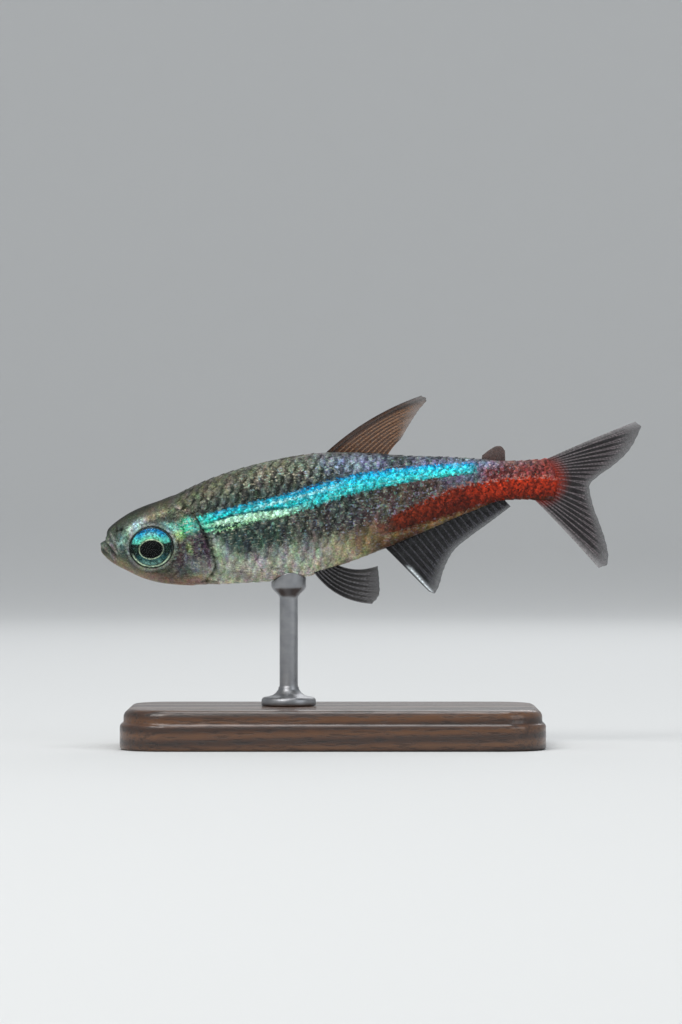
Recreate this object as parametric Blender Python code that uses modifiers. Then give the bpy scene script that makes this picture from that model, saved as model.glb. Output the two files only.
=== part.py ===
"""A life-size neon tetra, a small striped aquarium fish, held still on a display stand.

The fish is modelled in its own frame, in which X runs from the snout to the tail, Y to the fish's
right side and Z to its back. An empty then tilts it nose down and sets it above the stand. Lengths
are in metres, and the driving sizes are written in millimetres times MM.
"""

import math

import bmesh
import bpy
import numpy as np
from mathutils import Matrix, Vector

MM = 0.001
GAP = 0.28 * MM  # what neighbouring solids keep between them

# Driving sizes of the fish
STANDARD_LENGTH = 25.0 * MM  # snout to the base of the tail fin
NOSE_DOWN_DEG = 8.2
SNOUT_HEIGHT = 11.0 * MM  # above the floor
LENGTH_SHARE = STANDARD_LENGTH / 25.0  # one unit of the body stations

# Body stations: distance from the snout, height of the back, depth of the belly, half width,
# each in units of LENGTH_SHARE, so a twenty-fifth of the standard length
BODY_STATIONS = (
    (0.00, -0.03, -0.05, 0.00),
    (0.06, 0.26, -0.44, 0.34),
    (0.30, 0.62, -0.86, 0.66),
    (0.70, 0.96, -1.23, 0.90),
    (1.20, 1.25, -1.58, 1.08),
    (1.90, 1.57, -2.05, 1.24),
    (2.70, 1.80, -2.43, 1.38),
    (3.60, 1.98, -2.70, 1.52),
    (4.60, 2.23, -2.90, 1.64),
    (5.80, 2.60, -3.03, 1.72),
    (7.30, 2.95, -3.18, 1.77),
    (9.20, 3.21, -3.31, 1.78),
    (11.20, 3.33, -3.30, 1.70),
    (12.90, 3.30, -2.97, 1.56),
    (15.00, 2.97, -2.51, 1.32),
    (17.70, 2.40, -1.80, 1.00),
    (20.20, 1.96, -1.13, 0.74),
    (22.00, 1.56, -0.76, 0.58),
    (23.40, 1.32, -0.88, 0.47),
    (24.40, 1.24, -1.06, 0.38),
    (25.00, 1.02, -0.94, 0.28),
    (25.30, 0.05, -0.02, 0.00),
)
WIDEST_FROM_BACK = 0.45  # of the depth, where a section is widest
BACK_FULLNESS = 0.88  # power of the sine in a section; under 1 is fuller than an ellipse
BELLY_FULLNESS = 0.80
BODY_ROWS = 62
BODY_SIDES = 44

# Thin cuts that part the body, as side-view routes from above the back to below the belly
GILL_OPENING = ((4.0, 3.2), (4.1, 2.2), (4.4, 1.5), (5.3, 0.85), (5.62, 0.05), (5.85, -0.75),
                (6.02, -1.5), (6.0, -2.1), (5.5, -2.62), (4.7, -2.92), (4.2, -3.6))
VENT_CUT = ((17.1, 3.6), (16.95, 2.6), (16.35, 1.0), (15.65, -0.6), (15.1, -2.2), (15.0, -3.3))
GILL_COVER_RISE = 0.08 * MM

# Head
EYE_CENTRE = (2.72 * MM, -0.53 * MM)  # along and above the axis
EYE_RADIUS = 1.18 * MM
EYE_DOME = 0.34 * MM  # how far the clear front stands out of the rim
EYE_DEPTH = 0.62 * MM  # from the rim inwards
EYE_SINK = 0.05 * MM  # rim below the cheek
PUPIL_RADIUS = 0.60 * MM
EYE_FORWARD_DEG = 9.0
EYE_DOWN_DEG = 4.0
MOUTH_CLEFT = ((-0.35, 0.50), (0.10, 0.20), (0.30, 0.05), (0.50, -0.21), (0.70, -0.58),
               (0.88, -0.90))
CLEFT_WIDTH = 0.10 * MM
LIP_RADIUS = 0.10 * MM
NOSTRIL = (1.15 * MM, 0.52 * MM)
NOSTRIL_RADIUS = 0.13 * MM
CHEEK_GROOVE = ((3.95, 0.15), (4.30, -0.25), (4.48, -0.85), (4.42, -1.50), (4.10, -2.05),
                (3.50, -2.38))
GROOVE_RADIUS = 0.08 * MM

# Fins
RAY_THICK = 0.66 * MM  # along a ray, up to where it starts to taper
MEMBRANE_SHARE = 0.76  # of the ray's thickness, between rays
TAPER_FROM = 0.6  # of the way out along a ray
TIP_SHARE = 0.45  # of the ray's thickness, at the margin
NOTCH = 0.03  # how far the membrane falls short of the ray tips, as a share of the ray

# Stand
BASE_LENGTH = 23.0 * MM
BASE_WIDTH = 12.5 * MM
BASE_THICK = 2.2 * MM
BASE_BEHIND_SNOUT = 1.2 * MM
BASE_CORNER = 2.6 * MM
BASE_BEVEL = 0.35 * MM
ROD_ALONG = 9.9 * MM  # where the rod meets the belly, from the snout
ROD_RADIUS = 0.50 * MM
FOOT_RADIUS = 1.5 * MM
FOOT_THICK = 0.5 * MM
SADDLE_RADIUS = 0.95 * MM
SADDLE_HEIGHT = 1.0 * MM


def clear_scene():
    for item in list(bpy.data.objects):
        bpy.data.objects.remove(item)


def material(name, colour, roughness, metallic=0.0):
    made = bpy.data.materials.new(name)
    made.use_nodes = True
    shader = made.node_tree.nodes["Principled BSDF"]
    shader.inputs["Base Color"].default_value = (*colour, 1.0)
    shader.inputs["Roughness"].default_value = roughness
    shader.inputs["Metallic"].default_value = metallic
    return made


def smooth_through(known, values, wanted):
    """A cubic through the known points, whose slope at each comes from its neighbours."""
    known, values = np.asarray(known, float), np.asarray(values, float)
    slopes = np.gradient(values, known, axis=0)
    left = np.clip(np.searchsorted(known, wanted, side="right") - 1, 0, len(known) - 2)
    span = known[left + 1] - known[left]
    t = (np.asarray(wanted, float) - known[left]) / span
    if values.ndim > 1:
        span, t = span[:, None], t[:, None]
    start, end = values[left], values[left + 1]
    return (
        start * (1 + 2 * t) * (1 - t) ** 2
        + slopes[left] * span * t * (1 - t) ** 2
        + end * t**2 * (3 - 2 * t)
        + slopes[left + 1] * span * t**2 * (t - 1)
    )


def along_route(points, shares):
    """Points at the given shares of the length of a smooth route through the given points."""
    points = np.asarray(points, float)
    steps = np.linalg.norm(np.diff(points, axis=0), axis=1)
    reached = np.concatenate([[0.0], np.cumsum(steps)]) / steps.sum()
    return smooth_through(reached, points, np.asarray(shares, float))


def smoothstep(low, high, value):
    t = np.clip((value - low) / (high - low), 0.0, 1.0)
    return t * t * (3 - 2 * t)


def body_section(along):
    """Back height, belly depth and half width, in metres, at distances from the snout.

    The stations are read against the root of the distance, in which a blunt snout is smooth.
    """
    table = np.array(BODY_STATIONS)
    root = np.sqrt(np.clip(np.asarray(along, float) / LENGTH_SHARE, 0, table[-1, 0]))
    found = smooth_through(np.sqrt(table[:, 0]), table[:, 1:], np.atleast_1d(root))
    found[:, 2] = np.maximum(found[:, 2], 0.0)
    return found.T * LENGTH_SHARE


def body_surface(along, around):
    """Points of the body at distances from the snout and angles from the back, right side first.

    Height runs with the cosine of the angle and width with a power of its sine.
    """
    along, around = np.broadcast_arrays(along, around)
    back, belly, half_width = (v.reshape(along.shape) for v in body_section(along.ravel()))
    widest = back - WIDEST_FROM_BACK * (back - belly)
    up, out = np.cos(around), np.sin(around)
    height = widest + np.where(up > 0, back - widest, widest - belly) * up
    power = np.where(up > 0, BACK_FULLNESS, BELLY_FULLNESS)
    side = half_width * np.sign(out) * np.abs(out) ** power
    return np.stack([along, side, height], axis=-1)


def flank_point(along, height):
    """The point of the right flank at a distance from the snout and a height over the axis."""
    back, belly, _ = (v[0] for v in body_section([along]))
    widest = back - WIDEST_FROM_BACK * (back - belly)
    reach = back - widest if height > widest else widest - belly
    around = math.acos(max(-1.0, min(1.0, (height - widest) / reach)))
    return Vector(body_surface(along, around))


def new_mesh_object(name, points, faces, look=None):
    mesh = bpy.data.meshes.new(name)
    mesh.from_pydata([tuple(p) for p in np.asarray(points, float).tolist()], [], faces)
    mesh.validate()
    made = bpy.data.objects.new(name, mesh)
    if look is not None:
        mesh.materials.append(look)
    return made


def put(item, collection, parent=None):
    collection.objects.link(item)
    item.parent = parent
    return item


def shade_round(item, sharp_deg=35):
    item.data.shade_smooth()
    item.data.set_sharp_from_angle(angle=math.radians(sharp_deg))


def baked(item):
    """Puts a plain mesh object in an object's place, with its modifiers applied, caps welded."""
    bpy.context.view_layer.update()
    graph = bpy.context.evaluated_depsgraph_get()
    mesh = bpy.data.meshes.new_from_object(item.evaluated_get(graph))
    work = bmesh.new()
    work.from_mesh(mesh)
    bmesh.ops.remove_doubles(work, verts=work.verts, dist=0.002 * MM)
    bmesh.ops.recalc_face_normals(work, faces=work.faces)
    work.to_mesh(mesh)
    work.free()
    name = item.name
    made = bpy.data.objects.new(name, mesh)
    for place in item.users_collection:
        place.objects.link(made)
    made.parent = item.parent
    made.matrix_local = item.matrix_local.copy()
    bpy.data.objects.remove(item)
    made.name = name
    return made


def cut(item, other, operation="DIFFERENCE"):
    """Adds a Boolean modifier that takes an object, or all of a collection, off or on."""
    change = item.modifiers.new(operation.lower(), "BOOLEAN")
    change.operation = operation
    if isinstance(other, bpy.types.Collection):
        change.operand_type = "COLLECTION"
        change.collection = other
    else:
        change.object = other
    return item


def pieces_of(item):
    """The loose pieces of an object's mesh, from the snout to the tail."""
    bpy.ops.object.select_all(action="DESELECT")
    item.select_set(True)
    bpy.context.view_layer.objects.active = item
    bpy.ops.mesh.separate(type="LOOSE")
    found = list(bpy.context.selected_objects)
    return sorted(found, key=lambda o: sum(v.co.x for v in o.data.vertices) / len(o.data.vertices))


def body_blank(name, collection, parent, look=None, grow=0.0, gill_rise=0.0):
    """The whole body as one loft, its rows closer towards the snout.

    grow moves every point out along its normal. gill_rise widens it up to the gill opening.
    """
    length = BODY_STATIONS[-1][0] * LENGTH_SHARE
    rows = length * np.linspace(0, 1, BODY_ROWS) ** 2
    rows = np.append(rows[1:-1], 0.5 * (rows[-1] + rows[-2]))
    around = np.linspace(0, 2 * np.pi, BODY_SIDES, endpoint=False)
    points = body_surface(rows[:, None], around[None, :])
    if gill_rise:
        rise = gill_rise * smoothstep(3.2 * MM, 5.6 * MM, rows)[:, None]
        points[..., 1] += rise * np.sin(around)
    count = len(rows)
    points = np.vstack([points.reshape(-1, 3), body_surface([0.0, length], [0.0, 0.0])])
    snout, end = count * BODY_SIDES, count * BODY_SIDES + 1
    faces = []
    for side in range(BODY_SIDES):
        after = (side + 1) % BODY_SIDES
        faces.append((snout, after, side))
        for row in range(count - 1):
            here, next_row = row * BODY_SIDES, (row + 1) * BODY_SIDES
            faces.append((here + side, here + after, next_row + after, next_row + side))
        last = (count - 1) * BODY_SIDES
        faces.append((last + side, last + after, end))
    made = put(new_mesh_object(name, points, faces, look), collection, parent)
    work = bmesh.new()
    work.from_mesh(made.data)
    bmesh.ops.recalc_face_normals(work, faces=work.faces)
    work.normal_update()
    for corner in work.verts:
        corner.co += corner.normal * grow
    work.to_mesh(made.data)
    work.free()
    shade_round(made)
    return made


def thick_route(route, width, points=24):
    """The outline of a flat band of the given width along a smooth side-view route."""
    route = along_route(np.array(route) * MM, np.linspace(0, 1, points))
    heading = np.gradient(route, axis=0)
    heading /= np.linalg.norm(heading, axis=1)[:, None]
    across = np.stack([-heading[:, 1], heading[:, 0]], axis=1) * width / 2
    return np.vstack([route + across, (route - across)[::-1]])


def side_prism(name, outline, half_depth, collection, parent):
    """A side-view outline pushed out to both sides of the body, as a 2D curve with an extrusion."""
    curve = bpy.data.curves.new(name, "CURVE")
    curve.dimensions = "2D"
    curve.fill_mode = "BOTH"
    curve.extrude = half_depth
    line = curve.splines.new("POLY")
    line.points.add(len(outline) - 1)
    line.use_cyclic_u = True
    for point, (along, height) in zip(line.points, outline):
        point.co = (along, height, 0.0, 1.0)
    made = put(bpy.data.objects.new(name, curve), collection, parent)
    made.rotation_euler.x = math.radians(90)
    return baked(made)


def tube(name, route, radius, collection, parent, taper_ends=0.6):
    """A tube along a list of points, six-sided, a little thinner at both ends."""
    curve = bpy.data.curves.new(name, "CURVE")
    curve.dimensions = "3D"
    curve.bevel_depth = radius
    curve.bevel_resolution = 1
    curve.use_fill_caps = True
    line = curve.splines.new("POLY")
    line.points.add(len(route) - 1)
    for number, (point, place) in enumerate(zip(line.points, route)):
        point.co = (*place, 1.0)
        from_end = min(number, len(route) - 1 - number)
        point.radius = taper_ends if from_end == 0 else 1.0
    return baked(put(bpy.data.objects.new(name, curve), collection, parent))


def turned(name, profile, segments, collection, parent=None, look=None):
    """A solid of revolution about Z. The profile lists radius and height from top to bottom."""
    mesh = bpy.data.meshes.new(name)
    ring = [(radius, 0.0, height) for radius, height in profile]
    mesh.from_pydata(ring, [(i, i + 1) for i in range(len(ring) - 1)], [])
    made = put(bpy.data.objects.new(name, mesh), collection, parent)
    spin = made.modifiers.new("turn", "SCREW")
    spin.steps = spin.render_steps = segments
    spin.use_merge_vertices = True
    spin.merge_threshold = 0.002 * MM
    made = baked(made)
    if look is not None:
        made.data.materials.append(look)
    shade_round(made)
    return made


def eye_profile(extra=0.0):
    """Half section of an eyeball from its clear front to its back; extra makes the socket."""
    rim = EYE_RADIUS + extra
    front = [(rim * math.sin(t), (EYE_DOME + extra) * math.cos(t)) for t in
             np.radians([0, 18, 38, 56, 74])]
    if not extra:
        step = EYE_DOME * 0.16
        front = [(0.0, EYE_DOME + step), (PUPIL_RADIUS * 0.7, EYE_DOME * 0.9 + step),
                 (PUPIL_RADIUS, EYE_DOME * 0.80 + step / 2)] + front[2:]
    back = [(rim * math.cos(t), -(EYE_DEPTH + extra) * math.sin(t)) for t in
            np.radians([0, 25, 50, 72, 90])]
    return front + [(rim, 0.0)] + back[1:-1] + [(0.0, back[-1][1])]


def eye_matrix(side):
    """Where an eye's rim centre lies in the fish's frame, its local Z pointing out of the head."""
    centre = flank_point(*EYE_CENTRE)
    forward, down = math.radians(EYE_FORWARD_DEG), math.radians(EYE_DOWN_DEG)
    axis = Vector((-math.sin(forward), math.cos(forward) * math.cos(down), -math.sin(down)))
    axis.normalize()
    centre -= axis * EYE_SINK
    if side == "left":
        centre.y, axis.y = -centre.y, -axis.y
    turn = axis.to_track_quat("Z", "Y").to_matrix().to_4x4()
    return Matrix.Translation(centre) @ turn


def lip_route(shift, count=7):
    """A route round the jaw beside the cleft, from the right corner of the mouth to the left."""
    cleft = np.array(MOUTH_CLEFT[1:]) * MM
    line = along_route(cleft, np.linspace(0, 1, count))
    heading = np.gradient(line, axis=0)
    heading /= np.linalg.norm(heading, axis=1)[:, None]
    line = line + np.stack([-heading[:, 1], heading[:, 0]], axis=1) * shift
    right = [flank_point(*place) for place in line[::-1]]
    right[-1].y = min(right[-1].y, 0.30 * MM)
    left = [Vector((p.x, -p.y, p.z)) for p in right[::-1]]
    return right + left


def head_cutters(collection, parent):
    """Eye sockets, the mouth's cleft, nostrils and the groove behind each cheek."""
    for side in ("left", "right"):
        sign = -1 if side == "left" else 1
        socket = turned(f"cut_socket_{side}", eye_profile(GAP), 20, collection, parent)
        socket.matrix_local = eye_matrix(side)
        place = flank_point(*NOSTRIL)
        bpy.ops.mesh.primitive_uv_sphere_add(segments=8, ring_count=6, radius=NOSTRIL_RADIUS)
        pit = bpy.context.active_object
        pit.name = f"cut_nostril_{side}"
        bpy.context.collection.objects.unlink(pit)
        put(pit, collection, parent)
        pit.location = (place.x, sign * place.y, place.z)
        places = along_route(np.array(CHEEK_GROOVE) * MM, np.linspace(0, 1, 9))
        route = [flank_point(*p) for p in places]
        tube(f"cut_cheek_{side}", [(p.x, sign * p.y, p.z) for p in route],
             GROOVE_RADIUS, collection, parent)
    cleft = thick_route(MOUTH_CLEFT, CLEFT_WIDTH, 12)
    side_prism("cut_mouth", cleft, 2.0 * MM, collection, parent)


def hide_cutters(collection):
    for item in collection.objects:
        item.hide_render = True
        item.display_type = "WIRE"


def new_collection(name):
    made = bpy.data.collections.new(name)
    bpy.context.scene.collection.children.link(made)
    return made


def named(item, name, look=None):
    item.name = name
    item.data.name = name
    if look is not None:
        item.data.materials.clear()
        item.data.materials.append(look)
    shade_round(item)
    return item


def build_body(fish, cutters, scratch, parent, looks):
    """Head, trunk and tail stem, parted by thin cuts at the gill opening and over the vent."""
    slits = new_collection("slits")
    half_depth = 4 * MM
    side_prism("cut_gill", thick_route(GILL_OPENING, GAP), half_depth, slits, parent)
    side_prism("cut_vent", thick_route(VENT_CUT, GAP, 12), half_depth, slits, parent)
    hide_cutters(slits)
    head_cutters(cutters, parent)
    hide_cutters(cutters)

    lips = new_collection("lips")
    for number, shift in enumerate((0.55 * CLEFT_WIDTH + 0.6 * LIP_RADIUS,
                                    -0.55 * CLEFT_WIDTH - 0.6 * LIP_RADIUS)):
        tube(f"lip_{number}", lip_route(shift), LIP_RADIUS, lips, parent)

    flared = body_blank("head_blank", scratch, parent, looks["head"], gill_rise=GILL_COVER_RISE)
    flared = baked(cut(flared, lips, "UNION"))
    for item in list(lips.objects):
        bpy.data.objects.remove(item)
    flared = baked(cut(cut(flared, slits), cutters))
    head = pieces_of(flared)[0]

    whole = body_blank("body_blank", scratch, parent, looks["trunk"])
    whole = baked(cut(whole, slits))
    _, trunk, tail = pieces_of(whole)
    for item, name in ((head, "head"), (trunk, "trunk"), (tail, "tail_stem")):
        scratch.objects.unlink(item)
        fish.objects.link(item)
        named(item, name, looks[name])
    for item in list(scratch.objects):
        bpy.data.objects.remove(item)


def build_eyes(fish, parent, look):
    for side in ("left", "right"):
        eye = turned(f"eye_{side}", eye_profile(), 24, fish, parent, look)
        eye.matrix_local = eye_matrix(side)


def fin(name, roots, margin, rays, rows, fish, parent, look, body, bend=0.0, thick=RAY_THICK,
        flare=0.0):
    """A fin between its line of roots and its margin, with its rays raised as ridges.

    Ray number k runs from a share of the root line to the same share of the margin, bowed by
    bend across its own direction and by flare away from the middle plane. Columns alternate
    between a ray and the membrane after it, and Solidify gives each its thickness by weight.
    The body, grown by the gap, trims the root.
    """
    columns = max(2 * rays - 1, 5)
    shares = np.linspace(0, 1, columns)
    start = along_route(np.array(roots) * MM, shares)
    stop = along_route(np.array(margin) * MM, shares)
    is_ray = (np.arange(columns) % 2 == 0) if rays else np.ones(columns, bool)
    reach = np.where(is_ray, 1.0, 1.0 - NOTCH)
    share = np.linspace(0, 1, rows)[:, None, None]
    out = share * reach[None, :, None]
    points = start * (1 - out) + stop * out
    heading = stop - start
    across = np.stack([-heading[:, 2], 0 * heading[:, 0], heading[:, 0]], axis=1)
    bow = bend * across + np.array([0.0, flare, 0.0])
    points = points + bow * 4 * out * (1 - out)
    sheet = []
    for row in range(rows - 1):
        for column in range(columns - 1):
            here = row * columns + column
            there = here + columns
            sheet.append((here, here + 1, there + 1))
            sheet.append((here, there + 1, there))
    made = new_mesh_object(name, points.reshape(-1, 3), sheet, look)
    put(made, fish, parent)
    taper = 1 + (TIP_SHARE - 1) * smoothstep(TAPER_FROM, 1.0, share[..., 0])
    weights = taper * np.where(is_ray, 1.0, MEMBRANE_SHARE)
    group = made.vertex_groups.new(name="ray_thickness")
    for number, weight in enumerate(weights.ravel()):
        group.add([number], float(weight), "REPLACE")
    skin = made.modifiers.new("thickness", "SOLIDIFY")
    skin.thickness = thick
    skin.offset = 0.0
    skin.vertex_group = group.name
    skin.use_rim = True
    made = baked(made)
    cut(made, body)
    made = baked(made)
    keep_largest(made)
    shade_round(made, 60)
    return made


def keep_largest(item):
    """Deletes every loose piece of the mesh but the one with the most corners."""
    work = bmesh.new()
    work.from_mesh(item.data)
    left, groups = set(work.verts), []
    while left:
        stack = [left.pop()]
        group = set(stack)
        while stack:
            corner = stack.pop()
            for edge in corner.link_edges:
                other = edge.other_vert(corner)
                if other not in group:
                    group.add(other)
                    stack.append(other)
        left -= group
        groups.append(group)
    groups.sort(key=len)
    for group in groups[:-1]:
        bmesh.ops.delete(work, geom=list(group), context="VERTS")
    work.to_mesh(item.data)
    work.free()


def flat(points, y=0.0):
    """Side-view points at one distance from the middle plane."""
    return [(along, y, height) for along, height in points]


def build_fins(fish, parent, looks, body):
    shared = {"fish": fish, "parent": parent, "body": body}
    fin("dorsal_fin", flat(((12.15, 2.70), (14.0, 2.50), (15.9, 2.15))),
        flat(((18.55, 5.60), (18.82, 5.42), (18.30, 4.84), (17.70, 4.17), (17.05, 3.38))),
        11, 8, bend=0.06, look=looks["clear_fin"], **shared)
    fin("adipose_fin", flat(((21.15, 1.25), (21.9, 1.05), (22.5, 0.90))),
        flat(((21.35, 1.88), (21.80, 2.13), (22.20, 2.27), (22.45, 2.22), (22.62, 1.95))),
        0, 4, look=looks["clear_fin"], thick=0.5 * MM, **shared)
    fin("anal_fin",
        flat(((15.05, -1.92), (17.3, -1.30), (19.8, -0.62), (21.9, -0.25))),
        flat(((17.42, -5.10), (17.66, -5.26), (17.92, -5.00), (18.35, -4.10), (19.05, -3.10),
              (20.10, -2.42), (21.20, -1.84), (22.50, -1.12))),
        19, 7, look=looks["clear_fin"], **shared)
    fin("tail_fin_upper",
        flat(((23.70, 0.85), (24.30, 0.75), (24.60, 0.45), (24.70, 0.16))),
        flat(((29.95, 2.52), (30.20, 2.34), (29.91, 1.67), (29.40, 1.03), (28.44, 0.33),
              (27.50, -0.15), (27.00, -0.50))),
        10, 9, bend=0.01, look=looks["tail_fin"], **shared)
    fin("tail_fin_lower",
        flat(((24.70, -0.14), (24.60, -0.40), (24.20, -0.62), (23.55, -0.55))),
        flat(((26.92, -0.86), (26.98, -1.70), (27.17, -2.60), (27.38, -3.70), (27.39, -4.70),
              (27.20, -5.14), (26.80, -5.16))),
        9, 9, bend=0.01, look=looks["tail_fin"], **shared)
    for side, sign in (("left", -1), ("right", 1)):
        fin(f"pelvic_fin_{side}",
            [(11.15, sign * 0.50, -2.75), (11.6, sign * 0.40, -2.62), (12.1, sign * 0.30, -2.50)],
            [(14.25, sign * 1.35, -5.28), (14.66, sign * 1.15, -4.93), (14.82, sign * 0.85, -4.10),
             (14.85, sign * 0.58, -3.30)],
            8, 6, bend=-0.13, look=looks["clear_fin"], **shared)
        fin(f"pectoral_fin_{side}",
            [(6.45, sign * 0.95, -1.80), (6.40, sign * 0.85, -2.12), (6.30, sign * 0.70, -2.45)],
            [(9.50, sign * 2.60, -2.45), (9.65, sign * 2.42, -2.70), (9.25, sign * 2.15, -3.00),
             (8.60, sign * 1.90, -3.20)],
            8, 7, look=looks["clear_fin"], flare=sign * 0.30 * MM, **shared)


def build_stand(stand, parent, looks, body, fish_matrix):
    """A rounded slab, and one turned rod whose saddle follows the belly."""
    bpy.ops.mesh.primitive_cube_add(size=1.0)
    base = bpy.context.active_object
    bpy.context.collection.objects.unlink(base)
    put(base, stand, parent)
    base.data.transform(Matrix.Diagonal((BASE_LENGTH, BASE_WIDTH, BASE_THICK, 1.0)))
    base.location = (BASE_BEHIND_SNOUT + BASE_LENGTH / 2, 0.0, BASE_THICK / 2)
    upright = base.data.attributes.new("bevel_weight_edge", "FLOAT", "EDGE")
    for edge in base.data.edges:
        a, b = (base.data.vertices[v].co for v in edge.vertices)
        upright.data[edge.index].value = 1.0 if abs(a.z - b.z) > BASE_THICK / 2 else 0.0
    corners = base.modifiers.new("corners", "BEVEL")
    corners.limit_method = "WEIGHT"
    corners.width = BASE_CORNER
    corners.segments = 6
    rim = base.modifiers.new("rim", "BEVEL")
    rim.limit_method = "ANGLE"
    rim.angle_limit = math.radians(60)
    rim.width = BASE_BEVEL
    rim.segments = 2
    named(base, "stand_base", looks["stand_base"])

    belly = body_section([ROD_ALONG])[1][0]
    top = fish_matrix @ Vector((ROD_ALONG, 0.0, belly))
    foot = BASE_THICK + GAP
    profile = [
        (0.0, top.z + 0.5 * MM),
        (SADDLE_RADIUS, top.z + 0.5 * MM),
        (SADDLE_RADIUS, top.z - 0.35 * MM),
        (ROD_RADIUS, top.z - SADDLE_HEIGHT),
        (ROD_RADIUS, foot + FOOT_THICK + 0.35 * MM),
        (ROD_RADIUS * 1.5, foot + FOOT_THICK),
        (FOOT_RADIUS, foot + FOOT_THICK * 0.8),
        (FOOT_RADIUS, foot),
        (0.0, foot),
    ]
    rod = turned("stand_rod", profile, 24, stand, parent, looks["stand_rod"])
    rod.location = (top.x, 0.0, 0.0)
    cut(rod, body)
    rod = baked(rod)
    named(rod, "stand_rod", looks["stand_rod"])


def centre_along(model, items):
    """Moves the whole model so that the middle of its length stands over the origin."""
    bpy.context.view_layer.update()
    reach = [(item.matrix_world @ corner.co).x for item in items if item.type == "MESH"
             for corner in item.data.vertices]
    model.location.x -= (min(reach) + max(reach)) / 2


def build_model():
    clear_scene()
    fish, stand = new_collection("neon_tetra"), new_collection("display_stand")
    cutters, scratch = new_collection("cutters"), new_collection("scratch")
    model = put(bpy.data.objects.new("model", None), stand)
    pose = bpy.data.objects.new("fish_pose", None)
    pose.location.z = SNOUT_HEIGHT
    pose.rotation_euler.y = -math.radians(NOSE_DOWN_DEG)
    put(pose, fish, model)
    bpy.context.view_layer.update()
    looks = {
        "head": material("head_skin", (0.32, 0.33, 0.27), 0.35, 0.3),
        "trunk": material("trunk_skin", (0.27, 0.31, 0.34), 0.32, 0.4),
        "tail_stem": material("tail_skin", (0.52, 0.08, 0.04), 0.35, 0.2),
        "eye": material("eye", (0.03, 0.30, 0.36), 0.12, 0.5),
        "clear_fin": material("clear_fin", (0.42, 0.41, 0.45), 0.30),
        "tail_fin": material("tail_fin", (0.45, 0.30, 0.30), 0.30),
        "stand_base": material("dark_wood", (0.06, 0.03, 0.018), 0.4),
        "stand_rod": material("steel", (0.62, 0.62, 0.64), 0.25, 1.0),
    }
    build_body(fish, cutters, scratch, pose, looks)
    build_eyes(fish, pose, looks["eye"])
    grown = body_blank("cut_grown_body", cutters, pose, grow=GAP)
    hide_cutters(cutters)
    build_fins(fish, pose, looks, grown)
    build_stand(stand, model, looks, grown, pose.matrix_world)
    hide_cutters(cutters)
    centre_along(model, list(fish.objects) + list(stand.objects))


build_model()
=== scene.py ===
# %% [markdown]
# # A neon tetra on its stand
# The real fish is a slim, glittering aquarium fish only 30 mm long. A museum would cast it in
# resin, paint it and hold it in the air on a thin steel rod. This lesson builds such a model round
# a frame of plain solids. Each surface is worked out as whole numpy arrays, because the body, the
# scales and the fins all follow a few curves that are easy to write down and hard to sculpt.

# %% Load the frame and keep its size
import math

import bpy
import numpy as np
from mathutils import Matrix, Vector


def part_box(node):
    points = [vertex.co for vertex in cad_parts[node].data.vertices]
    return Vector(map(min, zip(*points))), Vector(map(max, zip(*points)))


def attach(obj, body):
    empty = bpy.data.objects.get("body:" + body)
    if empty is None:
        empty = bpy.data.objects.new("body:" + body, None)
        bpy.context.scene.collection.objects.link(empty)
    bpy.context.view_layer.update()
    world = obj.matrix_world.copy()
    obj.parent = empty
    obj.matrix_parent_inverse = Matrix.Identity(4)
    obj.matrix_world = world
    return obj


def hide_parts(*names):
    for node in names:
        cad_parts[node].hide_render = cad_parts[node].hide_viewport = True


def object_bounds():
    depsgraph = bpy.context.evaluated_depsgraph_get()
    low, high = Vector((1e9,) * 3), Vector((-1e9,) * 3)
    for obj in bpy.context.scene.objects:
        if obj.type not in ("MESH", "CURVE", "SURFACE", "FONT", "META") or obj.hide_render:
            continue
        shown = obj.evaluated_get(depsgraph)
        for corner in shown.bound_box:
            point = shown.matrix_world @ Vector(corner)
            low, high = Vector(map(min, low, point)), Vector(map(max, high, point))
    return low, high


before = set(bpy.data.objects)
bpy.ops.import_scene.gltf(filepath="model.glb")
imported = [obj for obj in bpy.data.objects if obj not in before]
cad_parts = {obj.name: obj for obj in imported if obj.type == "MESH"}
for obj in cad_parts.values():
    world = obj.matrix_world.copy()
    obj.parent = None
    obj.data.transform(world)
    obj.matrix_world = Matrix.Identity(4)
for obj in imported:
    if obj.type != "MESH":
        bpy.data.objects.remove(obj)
cad_low, cad_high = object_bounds()
for word, corner in (("from", cad_low), ("to", cad_high)):
    print("solids reach", word, [round(value * 1000, 2) for value in corner], "mm")

# %% [markdown]
# ## The fish's own frame
# A fish is easiest to describe along its own axis: distance from the snout, distance to the right
# and height over the axis, all in millimetres. The finished fish is tilted a little nose down, so
# one function turns and lifts every point when a mesh is made. Objects then stay at the origin.

# %% Fish frame and world frame
MM = 0.001
NOSE_DOWN = math.radians(8.2)
SNOUT_HEIGHT = 11.0  # above the floor
ROD_ALONG = 9.9  # where the rod meets the belly

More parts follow.
